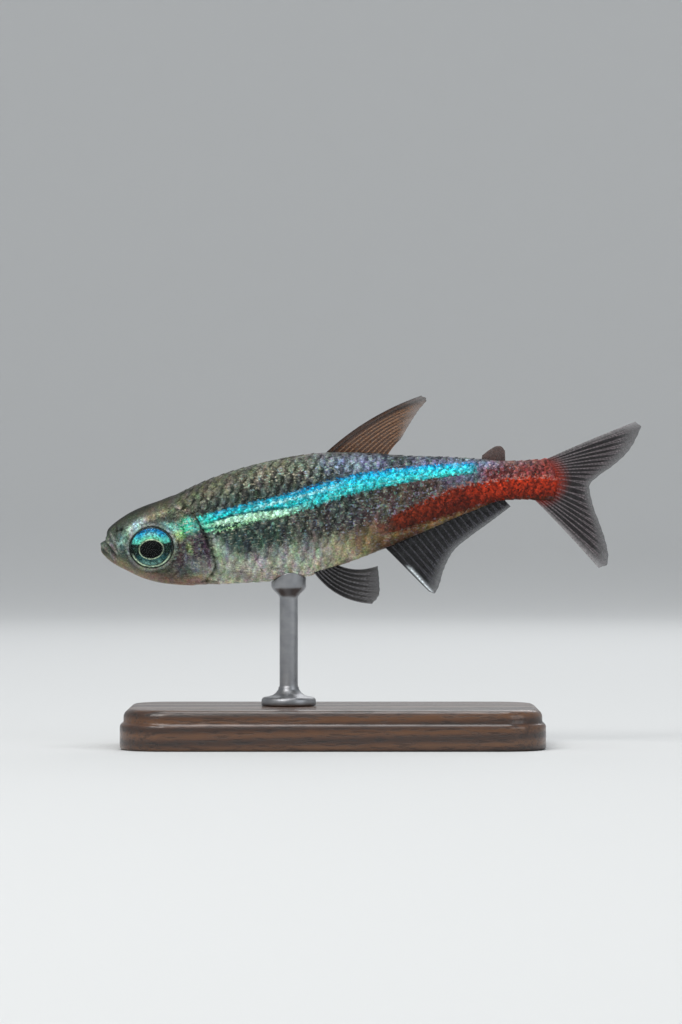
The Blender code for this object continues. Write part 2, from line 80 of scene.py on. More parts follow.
# Distance from the snout, height of the back, depth of the belly, half width
STATIONS = np.array((
    (0.00, -0.03, -0.05, 0.00), (0.06, 0.26, -0.44, 0.34), (0.30, 0.62, -0.86, 0.66),
    (0.70, 0.96, -1.23, 0.90), (1.20, 1.25, -1.58, 1.08), (1.90, 1.57, -2.05, 1.24),
    (2.70, 1.80, -2.43, 1.38), (3.60, 1.98, -2.70, 1.52), (4.60, 2.23, -2.90, 1.64),
    (5.80, 2.60, -3.03, 1.72), (7.30, 2.95, -3.18, 1.77), (9.20, 3.21, -3.31, 1.78),
    (11.20, 3.33, -3.30, 1.70), (12.90, 3.30, -2.97, 1.56), (15.00, 2.97, -2.51, 1.32),
    (17.70, 2.40, -1.80, 1.00), (20.20, 1.96, -1.13, 0.74), (22.00, 1.56, -0.76, 0.58),
    (23.40, 1.32, -0.88, 0.47), (24.40, 1.24, -1.06, 0.38), (25.00, 1.02, -0.94, 0.28),
    (25.30, 0.05, -0.02, 0.00),
))
BODY_END = STATIONS[-1, 0]
WIDEST_FROM_BACK = 0.45  # of the depth
BACK_FULLNESS = 0.88  # power of the sine in a section; under 1 is fuller than an ellipse
BELLY_FULLNESS = 0.80


def smooth_through(known, values, wanted):
    """A cubic through known points, whose slope at each comes from its neighbours."""
    known, values = np.asarray(known, float), np.asarray(values, float)
    slopes = np.gradient(values, known, axis=0)
    left = np.clip(np.searchsorted(known, wanted, side="right") - 1, 0, len(known) - 2)
    span = known[left + 1] - known[left]
    t = (np.asarray(wanted, float) - known[left]) / span
    if values.ndim > 1:
        span, t = span[..., None], t[..., None]
    first, last = values[left], values[left + 1]
    return (
        first * (1 + 2 * t) * (1 - t) ** 2
        + slopes[left] * span * t * (1 - t) ** 2
        + last * t**2 * (3 - 2 * t)
        + slopes[left + 1] * span * t**2 * (t - 1)
    )


def along_route(points, shares):
    """Points at shares of the length of a smooth route through the given points."""
    points = np.asarray(points, float)
    steps = np.linalg.norm(np.diff(points, axis=0), axis=1)
    reached = np.concatenate([[0.0], np.cumsum(steps)]) / steps.sum()
    return smooth_through(reached, points, np.asarray(shares, float))


def smoothstep(low, high, value):
    """0 up to low, 1 from high, with a soft S between them."""
    t = np.clip((value - low) / (high - low), 0.0, 1.0)
    return t * t * (3 - 2 * t)


def within(value, rise_from, rise_to, fall_from, fall_to):
    """1 between two soft slopes and 0 outside them: one S upwards times another downwards."""
    return smoothstep(rise_from, rise_to, value) * (1 - smoothstep(fall_from, fall_to, value))


def bell(distance, width):
    """1 at no distance, falling as a Gaussian of the given width."""
    return np.exp(-((distance / width) ** 2))


def read_table(table, value):
    """Straight lines through pairs of place and value."""
    return np.interp(value, *np.array(table).T)


def unit(vectors):
    """Vectors of length 1 in the same directions."""
    return vectors / np.maximum(np.linalg.norm(vectors, axis=-1, keepdims=True), 1e-12)


def body_section(along):
    """Back height, belly height and half width at distances from the snout.

    A cubic runs through the stations, read against the square root of the distance, in which a
    blunt snout is smooth.
    """
    along = np.clip(np.asarray(along, float), 0, BODY_END)
    found = smooth_through(np.sqrt(STATIONS[:, 0]), STATIONS[:, 1:], np.sqrt(along).ravel())
    back, belly, half = found.T.reshape(3, *along.shape)
    return back, belly, np.maximum(half, 0.0)


def body_surface(along, around):
    """Points of the body at distances from the snout and angles from the back, right side first.

    Height runs with the cosine of the angle, and width with a power of its sine.
    """
    along, around = np.broadcast_arrays(np.asarray(along, float), around)
    back, belly, half = body_section(along)
    widest = back - WIDEST_FROM_BACK * (back - belly)
    up, out = np.cos(around), np.sin(around)
    height = widest + np.where(up > 0, back - widest, widest - belly) * up
    power = np.where(up > 0, BACK_FULLNESS, BELLY_FULLNESS)
    side = half * np.sign(out) * np.abs(out) ** power
    return np.stack([along, side, height], axis=-1)


def body_normal(along, around, step=0.02):
    """The outward direction: a step along the body crossed with a step around it."""
    ahead = body_surface(along + step, around) - body_surface(along - step, around)
    across = body_surface(along, around + step) - body_surface(along, around - step)
    return unit(np.cross(ahead, across))


rod_low, rod_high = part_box("stand_rod")
rod_x = (rod_low.x + rod_high.x) / 2 / MM
snout_x = rod_x - ROD_ALONG * math.cos(NOSE_DOWN) + body_section(ROD_ALONG)[1] * math.sin(NOSE_DOWN)


def to_world(points):
    """From the fish's frame in mm to the world in metres: a turn by the tilt, then a shift."""
    along, side, height = np.moveaxis(np.asarray(points, float), -1, 0)
    x = snout_x + along * math.cos(NOSE_DOWN) - height * math.sin(NOSE_DOWN)
    z = SNOUT_HEIGHT + along * math.sin(NOSE_DOWN) + height * math.cos(NOSE_DOWN)
    return np.stack([x, side, z], axis=-1) * MM


print(f"the snout stands at x = {snout_x:.2f} mm, {SNOUT_HEIGHT} mm over the floor")

# %% [markdown]
# ## Meshes from arrays
# A grid of points becomes a mesh when neighbouring points are joined in fours. A closed piece has
# every edge on exactly two faces, and that is easy to count, so each piece is counted as it is
# made. Numbers that a material needs, such as a scale's own tone, ride along as attributes.

# %% Grids and closed shapes


def grid_quads(rows, columns, wrap=False, flip=False):
    """Faces of a grid of points stored row by row; wrap joins the last column to the first."""
    row = np.arange(rows - 1)[:, None]
    column = np.arange(columns if wrap else columns - 1)[None, :]
    after = (column + 1) % columns
    here, there = row * columns, (row + 1) * columns
    faces = np.stack([here + column, there + column, there + after, here + after], axis=-1)
    faces = faces.reshape(-1, 4)
    return faces[:, ::-1] if flip else faces


def fan(rim, centre, flip=False):
    """Triangles from a ring of point numbers to one point."""
    faces = np.stack([rim, np.roll(rim, -1), np.full(len(rim), centre)], axis=-1)
    return faces[:, ::-1] if flip else faces


def circle(sides):
    """Points of a circle of radius 1, as one ring."""
    angle = np.linspace(0, 2 * np.pi, sides, endpoint=False)
    return np.stack([np.cos(angle), np.sin(angle)], axis=-1)


def at_height(flat, height):
    """Flat places and their height as points."""
    return np.concatenate([flat, np.broadcast_to(height, (*flat.shape[:-1], 1))], axis=-1)


def closed_tube(rings, first_end, last_end, flip=False):
    """Points and faces of a tube of rings that closes on one point at either end."""
    rows, sides = rings.shape[:2]
    count, start = rows * sides, np.arange(sides)
    points = np.vstack([rings.reshape(-1, 3), [first_end], [last_end]])
    faces = [grid_quads(rows, sides, wrap=True, flip=flip), fan(start, count, flip=flip),
             fan(start + count - sides, count + 1, flip=not flip)]
    return points, faces


def sheet_faces(rows, columns):
    """Faces of a closed sheet of two grids: the front, the back turned over, and the rim."""
    size = rows * columns
    front = grid_quads(rows, columns)
    number = np.arange(size).reshape(rows, columns)
    rim = np.concatenate([number[0, :-1], number[:-1, -1], number[-1, :0:-1], number[:0:-1, 0]])
    after = np.roll(rim, -1)
    return [front, front[:, ::-1] + size, np.stack([rim, after, after + size, rim + size], axis=-1)]


def loose_edges(mesh):
    """How many edges don't lie on exactly two faces."""
    edges = np.empty(len(mesh.loops), int)
    mesh.loops.foreach_get("edge_index", edges)
    return int((np.bincount(edges, minlength=len(mesh.edges)) != 2).sum())


# %% Pieces and what they carry


def give(mesh, name, values):
    """Stores a number or a colour for each vertex under a name that a material can read."""
    values = np.asarray(values, np.float32)
    if values.ndim == 1:
        mesh.attributes.new(name, "FLOAT", "POINT").data.foreach_set("value", values)
        return
    full = np.ones((len(values), 4), np.float32)
    full[:, : values.shape[1]] = values
    mesh.attributes.new(name, "FLOAT_COLOR", "POINT").data.foreach_set("color", full.ravel())


def give_map(mesh, name, places):
    """Stores a flat place for each vertex as a UV map."""
    corners = np.empty(len(mesh.loops), int)
    mesh.loops.foreach_get("vertex_index", corners)
    layer = mesh.uv_layers.new(name=name)
    layer.data.foreach_set("uv", np.asarray(places, np.float32)[corners].ravel())


def make_piece(name, points, faces, nodes, look, numbers=None):
    """A smooth-shaded object in place in the world, riding on the frame. Points are in metres."""
    faces = [face for part in faces for face in part.tolist()]
    mesh = bpy.data.meshes.new(name)
    mesh.from_pydata(points.reshape(-1, 3), [], faces)
    mesh.update()
    for label, values in (numbers or {}).items():
        give(mesh, label, values)
    mesh.shade_smooth()
    mesh.materials.append(look)
    piece = bpy.data.objects.new(name, mesh)
    bpy.context.scene.collection.objects.link(piece)
    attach(piece, "root")
    if nodes:
        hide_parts(*nodes)
    triangles = sum(len(face) - 2 for face in faces)
    print(f"{name}: {triangles} triangles, {loose_edges(mesh)} loose edges")
    return piece


# %% [markdown]
# ## Where the markings lie
# The stripe, the red patch and the grain are drawn by the materials, so that they stay sharp
# however coarse a mesh is. What the materials need to know is how far across the stripe or the red
# patch a point lies. These shares change slowly, so a vertex can carry them.

# %% Curves of the markings
STRIPE_TOP = ((5.7, 0.80), (7.0, 1.00), (8.8, 1.20), (10.5, 1.36), (12.2, 1.62), (14.0, 1.84),
              (15.6, 1.90), (17.6, 1.84), (19.5, 1.70), (21.2, 1.54))
STRIPE_LOW = ((5.7, -0.14), (6.3, -0.18), (7.0, -0.20), (7.8, -0.12), (8.7, -0.02), (10.3, 0.12),
              (12.1, 0.42), (13.8, 0.74), (15.5, 0.86), (17.6, 1.00), (19.5, 0.97), (21.2, 0.92))
RED_TOP = ((14.8, -1.10), (16.0, -0.70), (17.3, -0.32), (18.7, 0.05), (19.6, 0.27), (21.3, 0.38),
           (22.9, 0.40), (24.0, 0.28), (25.3, 0.06))
RED_LOW = ((14.8, -1.70), (16.0, -1.62), (17.2, -1.46), (18.5, -1.25), (19.8, -1.04), (21.1, -0.80),
           (22.5, -0.74), (25.3, -0.95))
LAYER_SPLIT = ((5.7, 0.50), (6.3, 0.53), (7.0, 0.59), (7.7, 0.59), (8.8, 0.50), (9.9, 0.41), (11.0, 0.32),
               (12.5, 0.28))  # share of the stripe at which its pale lower layer ends
LAYER_END = 0.45  # the same line in the paints of the two layers


def read_curve(curve, along):
    """The height of a side-view curve at each distance from the snout."""
    curve = np.array(curve)
    return smooth_through(curve[:, 0], curve[:, 1], np.clip(along, curve[0, 0], curve[-1, 0]))


def marks(points):
    """What a material reads at each point: how far along, and how far across each marking.

    The share across the stripe is also raised to a power that brings the line between its two
    layers to one value everywhere.
    """
    along, height = points[:, 0], points[:, 2]
    top, low = read_curve(STRIPE_TOP, along), read_curve(STRIPE_LOW, along)
    stripe = (height - low) / (top - low)
    split = np.log(LAYER_END) / np.log(read_curve(LAYER_SPLIT, along))
    red_top, red_low = read_curve(RED_TOP, along), read_curve(RED_LOW, along)
    return {
        "along": along,
        "stripe": stripe,
        "layer": np.clip(stripe, 0, 1.5) ** split,
        "red": (height - red_low) / (red_top - red_low),
    }


for label, curve in (("stripe", STRIPE_TOP), ("red patch", RED_TOP)):
    print(f"the {label} runs from {curve[0][0]} to {curve[-1][0]} mm behind the snout")

# %% [markdown]
# ## Ground paint
# Under the markings lies the paint that a model maker airbrushes first: cream belly, steel grey
# flank, olive back, each blending into the next. Named paints are laid from belly to back at a few
# places along the fish and blended between them. The top of the head is darkened as painted shade
# and the belly lightened as painted light. Small dabs and strokes then go over the head.

# %% Paints


def paint(red, green, blue):
    """A screen colour of 0 to 255 as the linear light that a shader works in."""
    level = np.array([red, green, blue]) / 255
    return np.where(level <= 0.04045, level / 12.92, ((level + 0.055) / 1.055) ** 2.4)


# CREAM and SILVER are the belly's own pale colours, made lighter still as painted light on the underside
CREAM = paint(226, 222, 200)
SAND = paint(208, 194, 160)
SILVER = paint(192, 198, 186)
PEWTER = paint(178, 176, 150)
STEEL = paint(61, 79, 75)
SLATE = paint(82, 82, 80)
BROWN = paint(84, 71, 64)
UMBER = paint(70, 54, 50)
FLINT = paint(67, 67, 66)
ASH = paint(94, 95, 89)
DUSK = paint(54, 66, 62)
OLIVE = paint(92, 94, 76)
MOSS = paint(62, 66, 52)
BRONZE = paint(96, 97, 83)
BLUE_GREY = paint(92, 98, 104)
LILAC = paint(112, 124, 152)
TAN = paint(140, 116, 84)
FAWN = paint(79, 58, 41)
RUST = paint(84, 38, 22)
MAUVE = paint(134, 58, 54)
ROSE = paint(120, 70, 66)
WINE = paint(104, 48, 47)
INK = paint(38, 42, 42)
PINK_TAN = paint(140, 120, 100)
SNOUT_GREY = paint(60, 70, 62)
# The top of the head, darkened as painted shade
SHADED_CROWN = paint(20, 22, 18)
PLUM = paint(62, 50, 62)

# Distance from the snout, then the paints at the levels below, from belly to back
LEVELS = (0.0, 0.14, 0.33, 0.74, 0.90, 1.0)
GROUND = (
    (0.0, PINK_TAN, BRONZE, SNOUT_GREY, SNOUT_GREY, SNOUT_GREY, SHADED_CROWN),
    (2.5, PINK_TAN, BRONZE, SNOUT_GREY, SNOUT_GREY, MOSS, SHADED_CROWN),
    (4.6, PINK_TAN, SLATE, PLUM, MOSS, OLIVE, SHADED_CROWN),
    (6.6, CREAM, SILVER, STEEL, DUSK, OLIVE, MOSS),
    (9.5, CREAM, SILVER, STEEL, DUSK, BRONZE, OLIVE),
    (11.0, CREAM, SILVER, ASH, DUSK, BRONZE, OLIVE),
    (12.5, SAND, PEWTER, FLINT, DUSK, BLUE_GREY, SLATE),
    (13.8, SAND, TAN, FLINT, DUSK, LILAC, SLATE),
    (15.0, FAWN, TAN, BROWN, DUSK, LILAC, SLATE),
    (16.8, FAWN, FAWN, BROWN, BROWN, DUSK, INK),
    (18.4, TAN, RUST, UMBER, UMBER, LILAC, DUSK),
    (20.6, RUST, RUST, BROWN, LILAC, LILAC, SLATE),
    (21.5, RUST, RUST, WINE, WINE, LILAC, SLATE),
    (22.6, RUST, RUST, WINE, WINE, ROSE, ROSE),
    (23.6, RUST, RUST, MAUVE, MAUVE, ROSE, ROSE),
    (25.3, RUST, RUST, MAUVE, MAUVE, MAUVE, MAUVE),
)


def ground_paint(points):
    """The airbrushed ground: paints blended up each station, then along between stations."""
    along, height = points[:, 0], points[:, 2]
    back, belly, _ = body_section(along)
    share = np.clip((height - belly) / np.maximum(back - belly, 0.05), 0, 1)
    stations = np.array([station[0] for station in GROUND])
    blends = np.array([
        [np.interp(share, LEVELS, [level[channel] for level in station[1:]]) for channel in range(3)]
        for station in GROUND
    ])
    place = np.interp(along, stations, np.arange(len(stations)))
    left = np.minimum(place.astype(int), len(stations) - 2)
    part = (place - left)[:, None]
    column = np.arange(len(along))
    return blends[left, :, column] * (1 - part) + blends[left + 1, :, column] * part


# Dabs on the head: place, half length, half height, upward turn in degrees, paint, strength,
# and how much it shines
DABS = (
    ((2.02, 0.62), 0.66, 0.26, 34, paint(196, 240, 234), 0.95, 0.6),
    ((1.40, 0.10), 0.42, 0.34, 60, paint(112, 142, 138), 0.75, 0.4),
    ((0.72, 0.30), 0.22, 0.34, 20, paint(70, 84, 78), 0.65, 0.1),
    # The next two dabs are painted shade in the nostril pits
    ((1.00, 0.66), 0.08, 0.07, 20, paint(16, 18, 16), 0.9, 0.0),
    ((1.24, 0.68), 0.11, 0.09, 20, paint(20, 22, 20), 0.85, 0.0),
    ((3.35, 1.16), 0.80, 0.17, 12, paint(150, 142, 108), 0.7, 0.6),
    ((4.36, -0.02), 0.34, 0.27, -35, paint(188, 236, 148), 1.0, 1.0),
    ((3.94, 0.40), 0.50, 0.24, -20, paint(150, 248, 226), 1.0, 1.0),
    ((4.90, 0.34), 0.56, 0.40, 10, paint(66, 200, 162), 1.0, 0.9),
    ((5.24, 0.20), 0.26, 0.38, 20, paint(94, 212, 178), 1.0, 1.0),
    ((4.95, 0.62), 0.20, 0.15, 20, paint(120, 240, 224), 0.9, 1.0),
    ((5.30, 0.24), 0.12, 0.20, 20, paint(130, 242, 222), 0.9, 1.0),
    ((4.86, -0.86), 0.20, 0.32, 10, paint(146, 190, 108), 0.9, 0.8),
    ((4.25, -0.35), 0.18, 0.14, 0, paint(168, 176, 130), 0.7, 0.6),
    ((5.25, -0.70), 0.50, 0.95, -8, paint(76, 62, 76), 0.75, 0.25),
    ((4.25, -1.20), 0.22, 0.70, 4, paint(80, 60, 60), 0.6, 0.1),
    ((4.95, -1.80), 0.40, 0.34, 20, paint(146, 150, 152), 0.7, 0.5),
    ((4.55, -1.35), 0.12, 0.40, 0, paint(118, 134, 140), 0.6, 0.4),
    ((0.24, -0.34), 0.26, 0.17, -50, paint(46, 46, 41), 0.8, 0.1),
    ((0.22, -0.38), 0.10, 0.10, 0, paint(50, 48, 46), 0.7, 0.0),
    ((1.10, -0.05), 0.08, 0.07, 0, paint(226, 240, 222), 0.9, 0.5),
    ((1.15, -1.30), 0.55, 0.22, -40, paint(138, 132, 98), 0.7, 0.1),
    ((2.50, -2.10), 0.90, 0.22, -18, paint(156, 128, 108), 0.6, 0.1),
    ((4.60, -2.72), 0.90, 0.26, 0, paint(182, 150, 128), 0.7, 0.1),
    ((5.10, -2.40), 0.30, 0.14, 0, paint(196, 178, 120), 0.6, 0.6),
    ((6.45, -1.35), 0.34, 1.00, 14, paint(172, 194, 176), 1.0, 0.05),
    ((7.00, -2.12), 0.90, 0.36, 0, paint(204, 214, 196), 0.9, 0.05),
    ((7.75, -1.15), 0.55, 0.60, 0, paint(50, 70, 72), 0.6, 0.2),
    ((6.38, -0.03), 0.50, 0.07, -4, paint(170, 226, 216), 0.9, 0.9),
)

# Strokes: side-view route from front to rear, half width, paint, strength, shine
STROKES = (
    (((4.30, 1.50), (4.75, 1.30), (5.10, 1.04)), 0.06, paint(240, 218, 208), 1.0, 0.3),
    (((4.16, 1.66), (4.40, 1.36), (4.90, 1.06), (5.34, 0.72)), 0.05, paint(26, 26, 26), 0.8, 0.0),
    (((0.50, 0.62), (0.72, 0.28), (0.95, -0.18), (1.02, -0.62)), 0.08, paint(128, 134, 124), 0.8, 0.2),
    (((0.06, 0.40), (0.34, 0.22), (0.58, -0.04), (0.80, -0.40), (0.95, -0.70)), 0.06,
     paint(142, 146, 138), 0.7, 0.1),
    (((0.02, 0.02), (0.18, -0.10), (0.36, -0.32), (0.55, -0.65), (0.72, -0.95)), 0.06,
     paint(146, 142, 132), 0.7, 0.1),
    (((1.30, 0.20), (1.22, 0.02), (1.36, -0.16), (1.60, -0.22)), 0.05, paint(172, 184, 168), 0.9, 0.4),
    (((4.35, 0.10), (4.60, -0.40), (4.66, -1.20), (4.50, -1.90)), 0.06, paint(34, 30, 34), 0.6, 0.0),
    (((5.44, 0.06), (5.64, -0.70), (5.80, -1.50), (5.76, -2.10)), 0.13, paint(66, 46, 58), 0.8, 0.1),
    # The next two strokes are painted shade along the gill opening
    (((5.34, 0.66), (5.50, 0.32), (5.62, -0.02)), 0.035, paint(22, 74, 78), 0.9, 0.1),
    (((5.58, 0.06), (5.76, -0.50), (5.90, -1.05)), 0.05, paint(8, 7, 9), 1.0, 0.0),
    (((6.6, -2.46), (8.0, -2.62), (10.4, -2.62)), 0.030, paint(52, 54, 50), 0.75, 0.0),
    (((6.5, -2.60), (8.0, -2.74), (9.6, -2.74)), 0.03, paint(222, 222, 212), 0.7, 0.1),
    # A painted highlight along the top of the back before the tail
    (((22.0, 1.42), (23.2, 1.20), (24.5, 1.08)), 0.06, paint(150, 132, 140), 0.30, 0.2),
    (((14.9, -1.95), (17.0, -1.58), (19.2, -1.22), (21.6, -0.82)), 0.10, paint(150, 116, 72), 0.6, 0.3),
)
# Rings of skin round each eye: radius, half width, paint. The dark one in the crease is painted shade, and
# the pale one on the rim is its own pale grey painted lighter against the socket's shade.
EYE_CREASE_SHADE = (1.40, 0.05, paint(40, 42, 40))
EYE_RIM = (1.27, 0.07, paint(146, 158, 152))
EYE_RING_STRENGTH = 0.7
GILL_SHADE = paint(12, 11, 13)

# %% Routes on the head
EYE_CENTRE = (2.77, -0.53)
EYE_OVAL = (1.035, 0.965)  # how much longer and lower an eye is than a circle
GILL_OPENING = ((4.0, 3.2), (4.1, 2.2), (4.4, 1.5), (5.3, 0.85), (5.62, 0.05), (5.85, -0.75),
                (6.02, -1.5), (6.0, -2.1), (5.5, -2.62), (4.7, -2.92), (4.2, -3.6))


def from_route(route, along, height, count=36):
    """Distance from a smooth side-view route, how far along it, and the side it lies on.

    Each point is dropped onto every short straight piece of the route and the nearest one counts.
    Places are complex numbers here. The side is 1 to the left of the heading.
    """
    line = along_route(route, np.linspace(0, 1, count)) @ np.array([1, 1j])
    start, step = line[:-1], np.diff(line)
    gap = (along + 1j * height)[:, None] - start
    share = np.clip((gap * step.conj()).real / abs(step) ** 2, 0, 1)
    gap = gap - share * step
    nearest = abs(gap).argmin(1)
    row = np.arange(len(nearest))
    picked = gap[row, nearest]
    side = np.sign((step[nearest].conj() * picked).imag)
    return abs(picked), (nearest + share[row, nearest]) / len(step), side


def gill_distance(along, height):
    """Distance behind the gill opening, negative on the head, and the share of its route."""
    distance, share, side = from_route(GILL_OPENING, along, height, 60)
    return distance * side, share


# %% Brushes
DABS_END = 10.5  # no dab lies behind this distance from the snout
STROKE_MARGIN = 0.5  # how far before and behind its route a stroke is worked out


def painted(under, colour, cover):
    """One paint laid over others where cover is 1."""
    return under + (colour - under) * cover[:, None]


def lay_dabs(points, colours, shine):
    """Paints the dabs and strokes over the ground, each a soft-edged oval or line."""

    def lay(where, colour, cover, gloss=None):
        colours[where] = painted(colours[where], colour, cover)
        if gloss is not None:
            shine[where] += (gloss - shine[where]) * cover

    near = np.flatnonzero(points[:, 0] < DABS_END)
    along, height = points[near, 0], points[near, 2]
    for (x, z), long, tall, turn, colour, strength, gloss in DABS:
        angle = math.radians(turn)
        across = ((along - x) * math.cos(angle) + (height - z) * math.sin(angle)) / long
        up = ((height - z) * math.cos(angle) - (along - x) * math.sin(angle)) / tall
        lay(near, colour, strength * np.exp(-((across**2 + up**2) ** 1.5)), gloss)
    for route, width, colour, strength, gloss in STROKES:
        first, last = route[0][0] - STROKE_MARGIN, route[-1][0] + STROKE_MARGIN
        here = np.flatnonzero((points[:, 0] > first) & (points[:, 0] < last))
        distance, share, _ = from_route(route, points[here, 0], points[here, 2])
        lay(here, colour, strength * within(share, 0, 0.12, 0.88, 1) * bell(distance, width), gloss)
    behind, share = gill_distance(along, height)
    lay(near, GILL_SHADE, bell(behind - 0.04, 0.055) * within(share, 0.15, 0.25, 0.80, 0.95))
    from_eye = np.hypot((along - EYE_CENTRE[0]) / EYE_OVAL[0], (height - EYE_CENTRE[1]) / EYE_OVAL[1])
    # Painted shade in the crease round each eye, then the rim's pale ring
    for radius, width, colour in (EYE_CREASE_SHADE, EYE_RIM):
        lay(near, colour, EYE_RING_STRENGTH * bell(from_eye - radius, width))
    return colours, shine


# %% What the coat carries
FAR_BEHIND = 3.0  # stands for any place well behind the gill opening


def coat_shine(along, share):
    """How silvery the coat is, which sets its metal and its share of painted glints: most on the flank and
    along the edge of the back, where a band of painted highlight runs.
    """
    shine = 0.22 + 0.23 * smoothstep(0.15, 0.38, share) - 0.25 * smoothstep(0.55, 0.8, share)
    # A band of painted highlight along the edge of the back
    shine += 0.45 * bell(share - 0.86, 0.07) * within(along, 7.0, 9.0, 23.5, 25.0)
    shine *= 1 - smoothstep(0.86, 0.94, share) * (1 - smoothstep(6.0, 8.0, along))
    return shine * (1 - 0.7 * smoothstep(21.5, 24.0, along))


def coat_pigment(along, height, share):
    """How many dark grains there are: few on belly and snout and in the pale triangle."""
    pigment = 0.35 + 0.65 * smoothstep(0.18, 0.40, share) - 0.25 * smoothstep(0.84, 0.9, share)
    pigment *= 0.6 + 0.4 * smoothstep(3.0, 6.0, along)
    pigment *= 1 - 0.30 * bell(share - 0.42, 0.14) * smoothstep(6.0, 8.0, along)
    triangle = bell(np.hypot((along - 6.6) / 0.8, (height + 1.5) / 1.1), 1.0)
    return pigment * (1 - 0.8 * triangle * smoothstep(5.8, 6.1, along))


def coat_numbers(points, seed, stipple=0.0):
    """All that the skin's material reads at each point; stipple scatters the paint a little."""
    draw = np.random.default_rng(seed)
    scattered = points + draw.normal(0, 1, points.shape) * stipple
    along, height = points[:, 0], points[:, 2]
    back, belly, _ = body_section(along)
    share = (height - belly) / np.maximum(back - belly, 0.05)
    colours, shine = lay_dabs(scattered, ground_paint(scattered), coat_shine(along, share))
    shine *= 0.4 + 0.6 * smoothstep(3.0, 4.2, along)
    near = along < DABS_END
    behind = np.full(len(points), FAR_BEHIND)
    behind[near] = gill_distance(scattered[near, 0], scattered[near, 2])[0]
    return {"paint": colours, "shine": shine, "pigment": coat_pigment(along, height, share),
            "behind": behind, **marks(points)}


# %% [markdown]
# ## A workbench for materials
# Each finish is a small network of shader nodes. Writing it with one short call for each node keeps
# the recipe readable: read an attribute, scatter cells, mix two paints. Noise is measured in
# millimetres of the object itself, so it sits still on the model from every side.

# %% Shader workbench


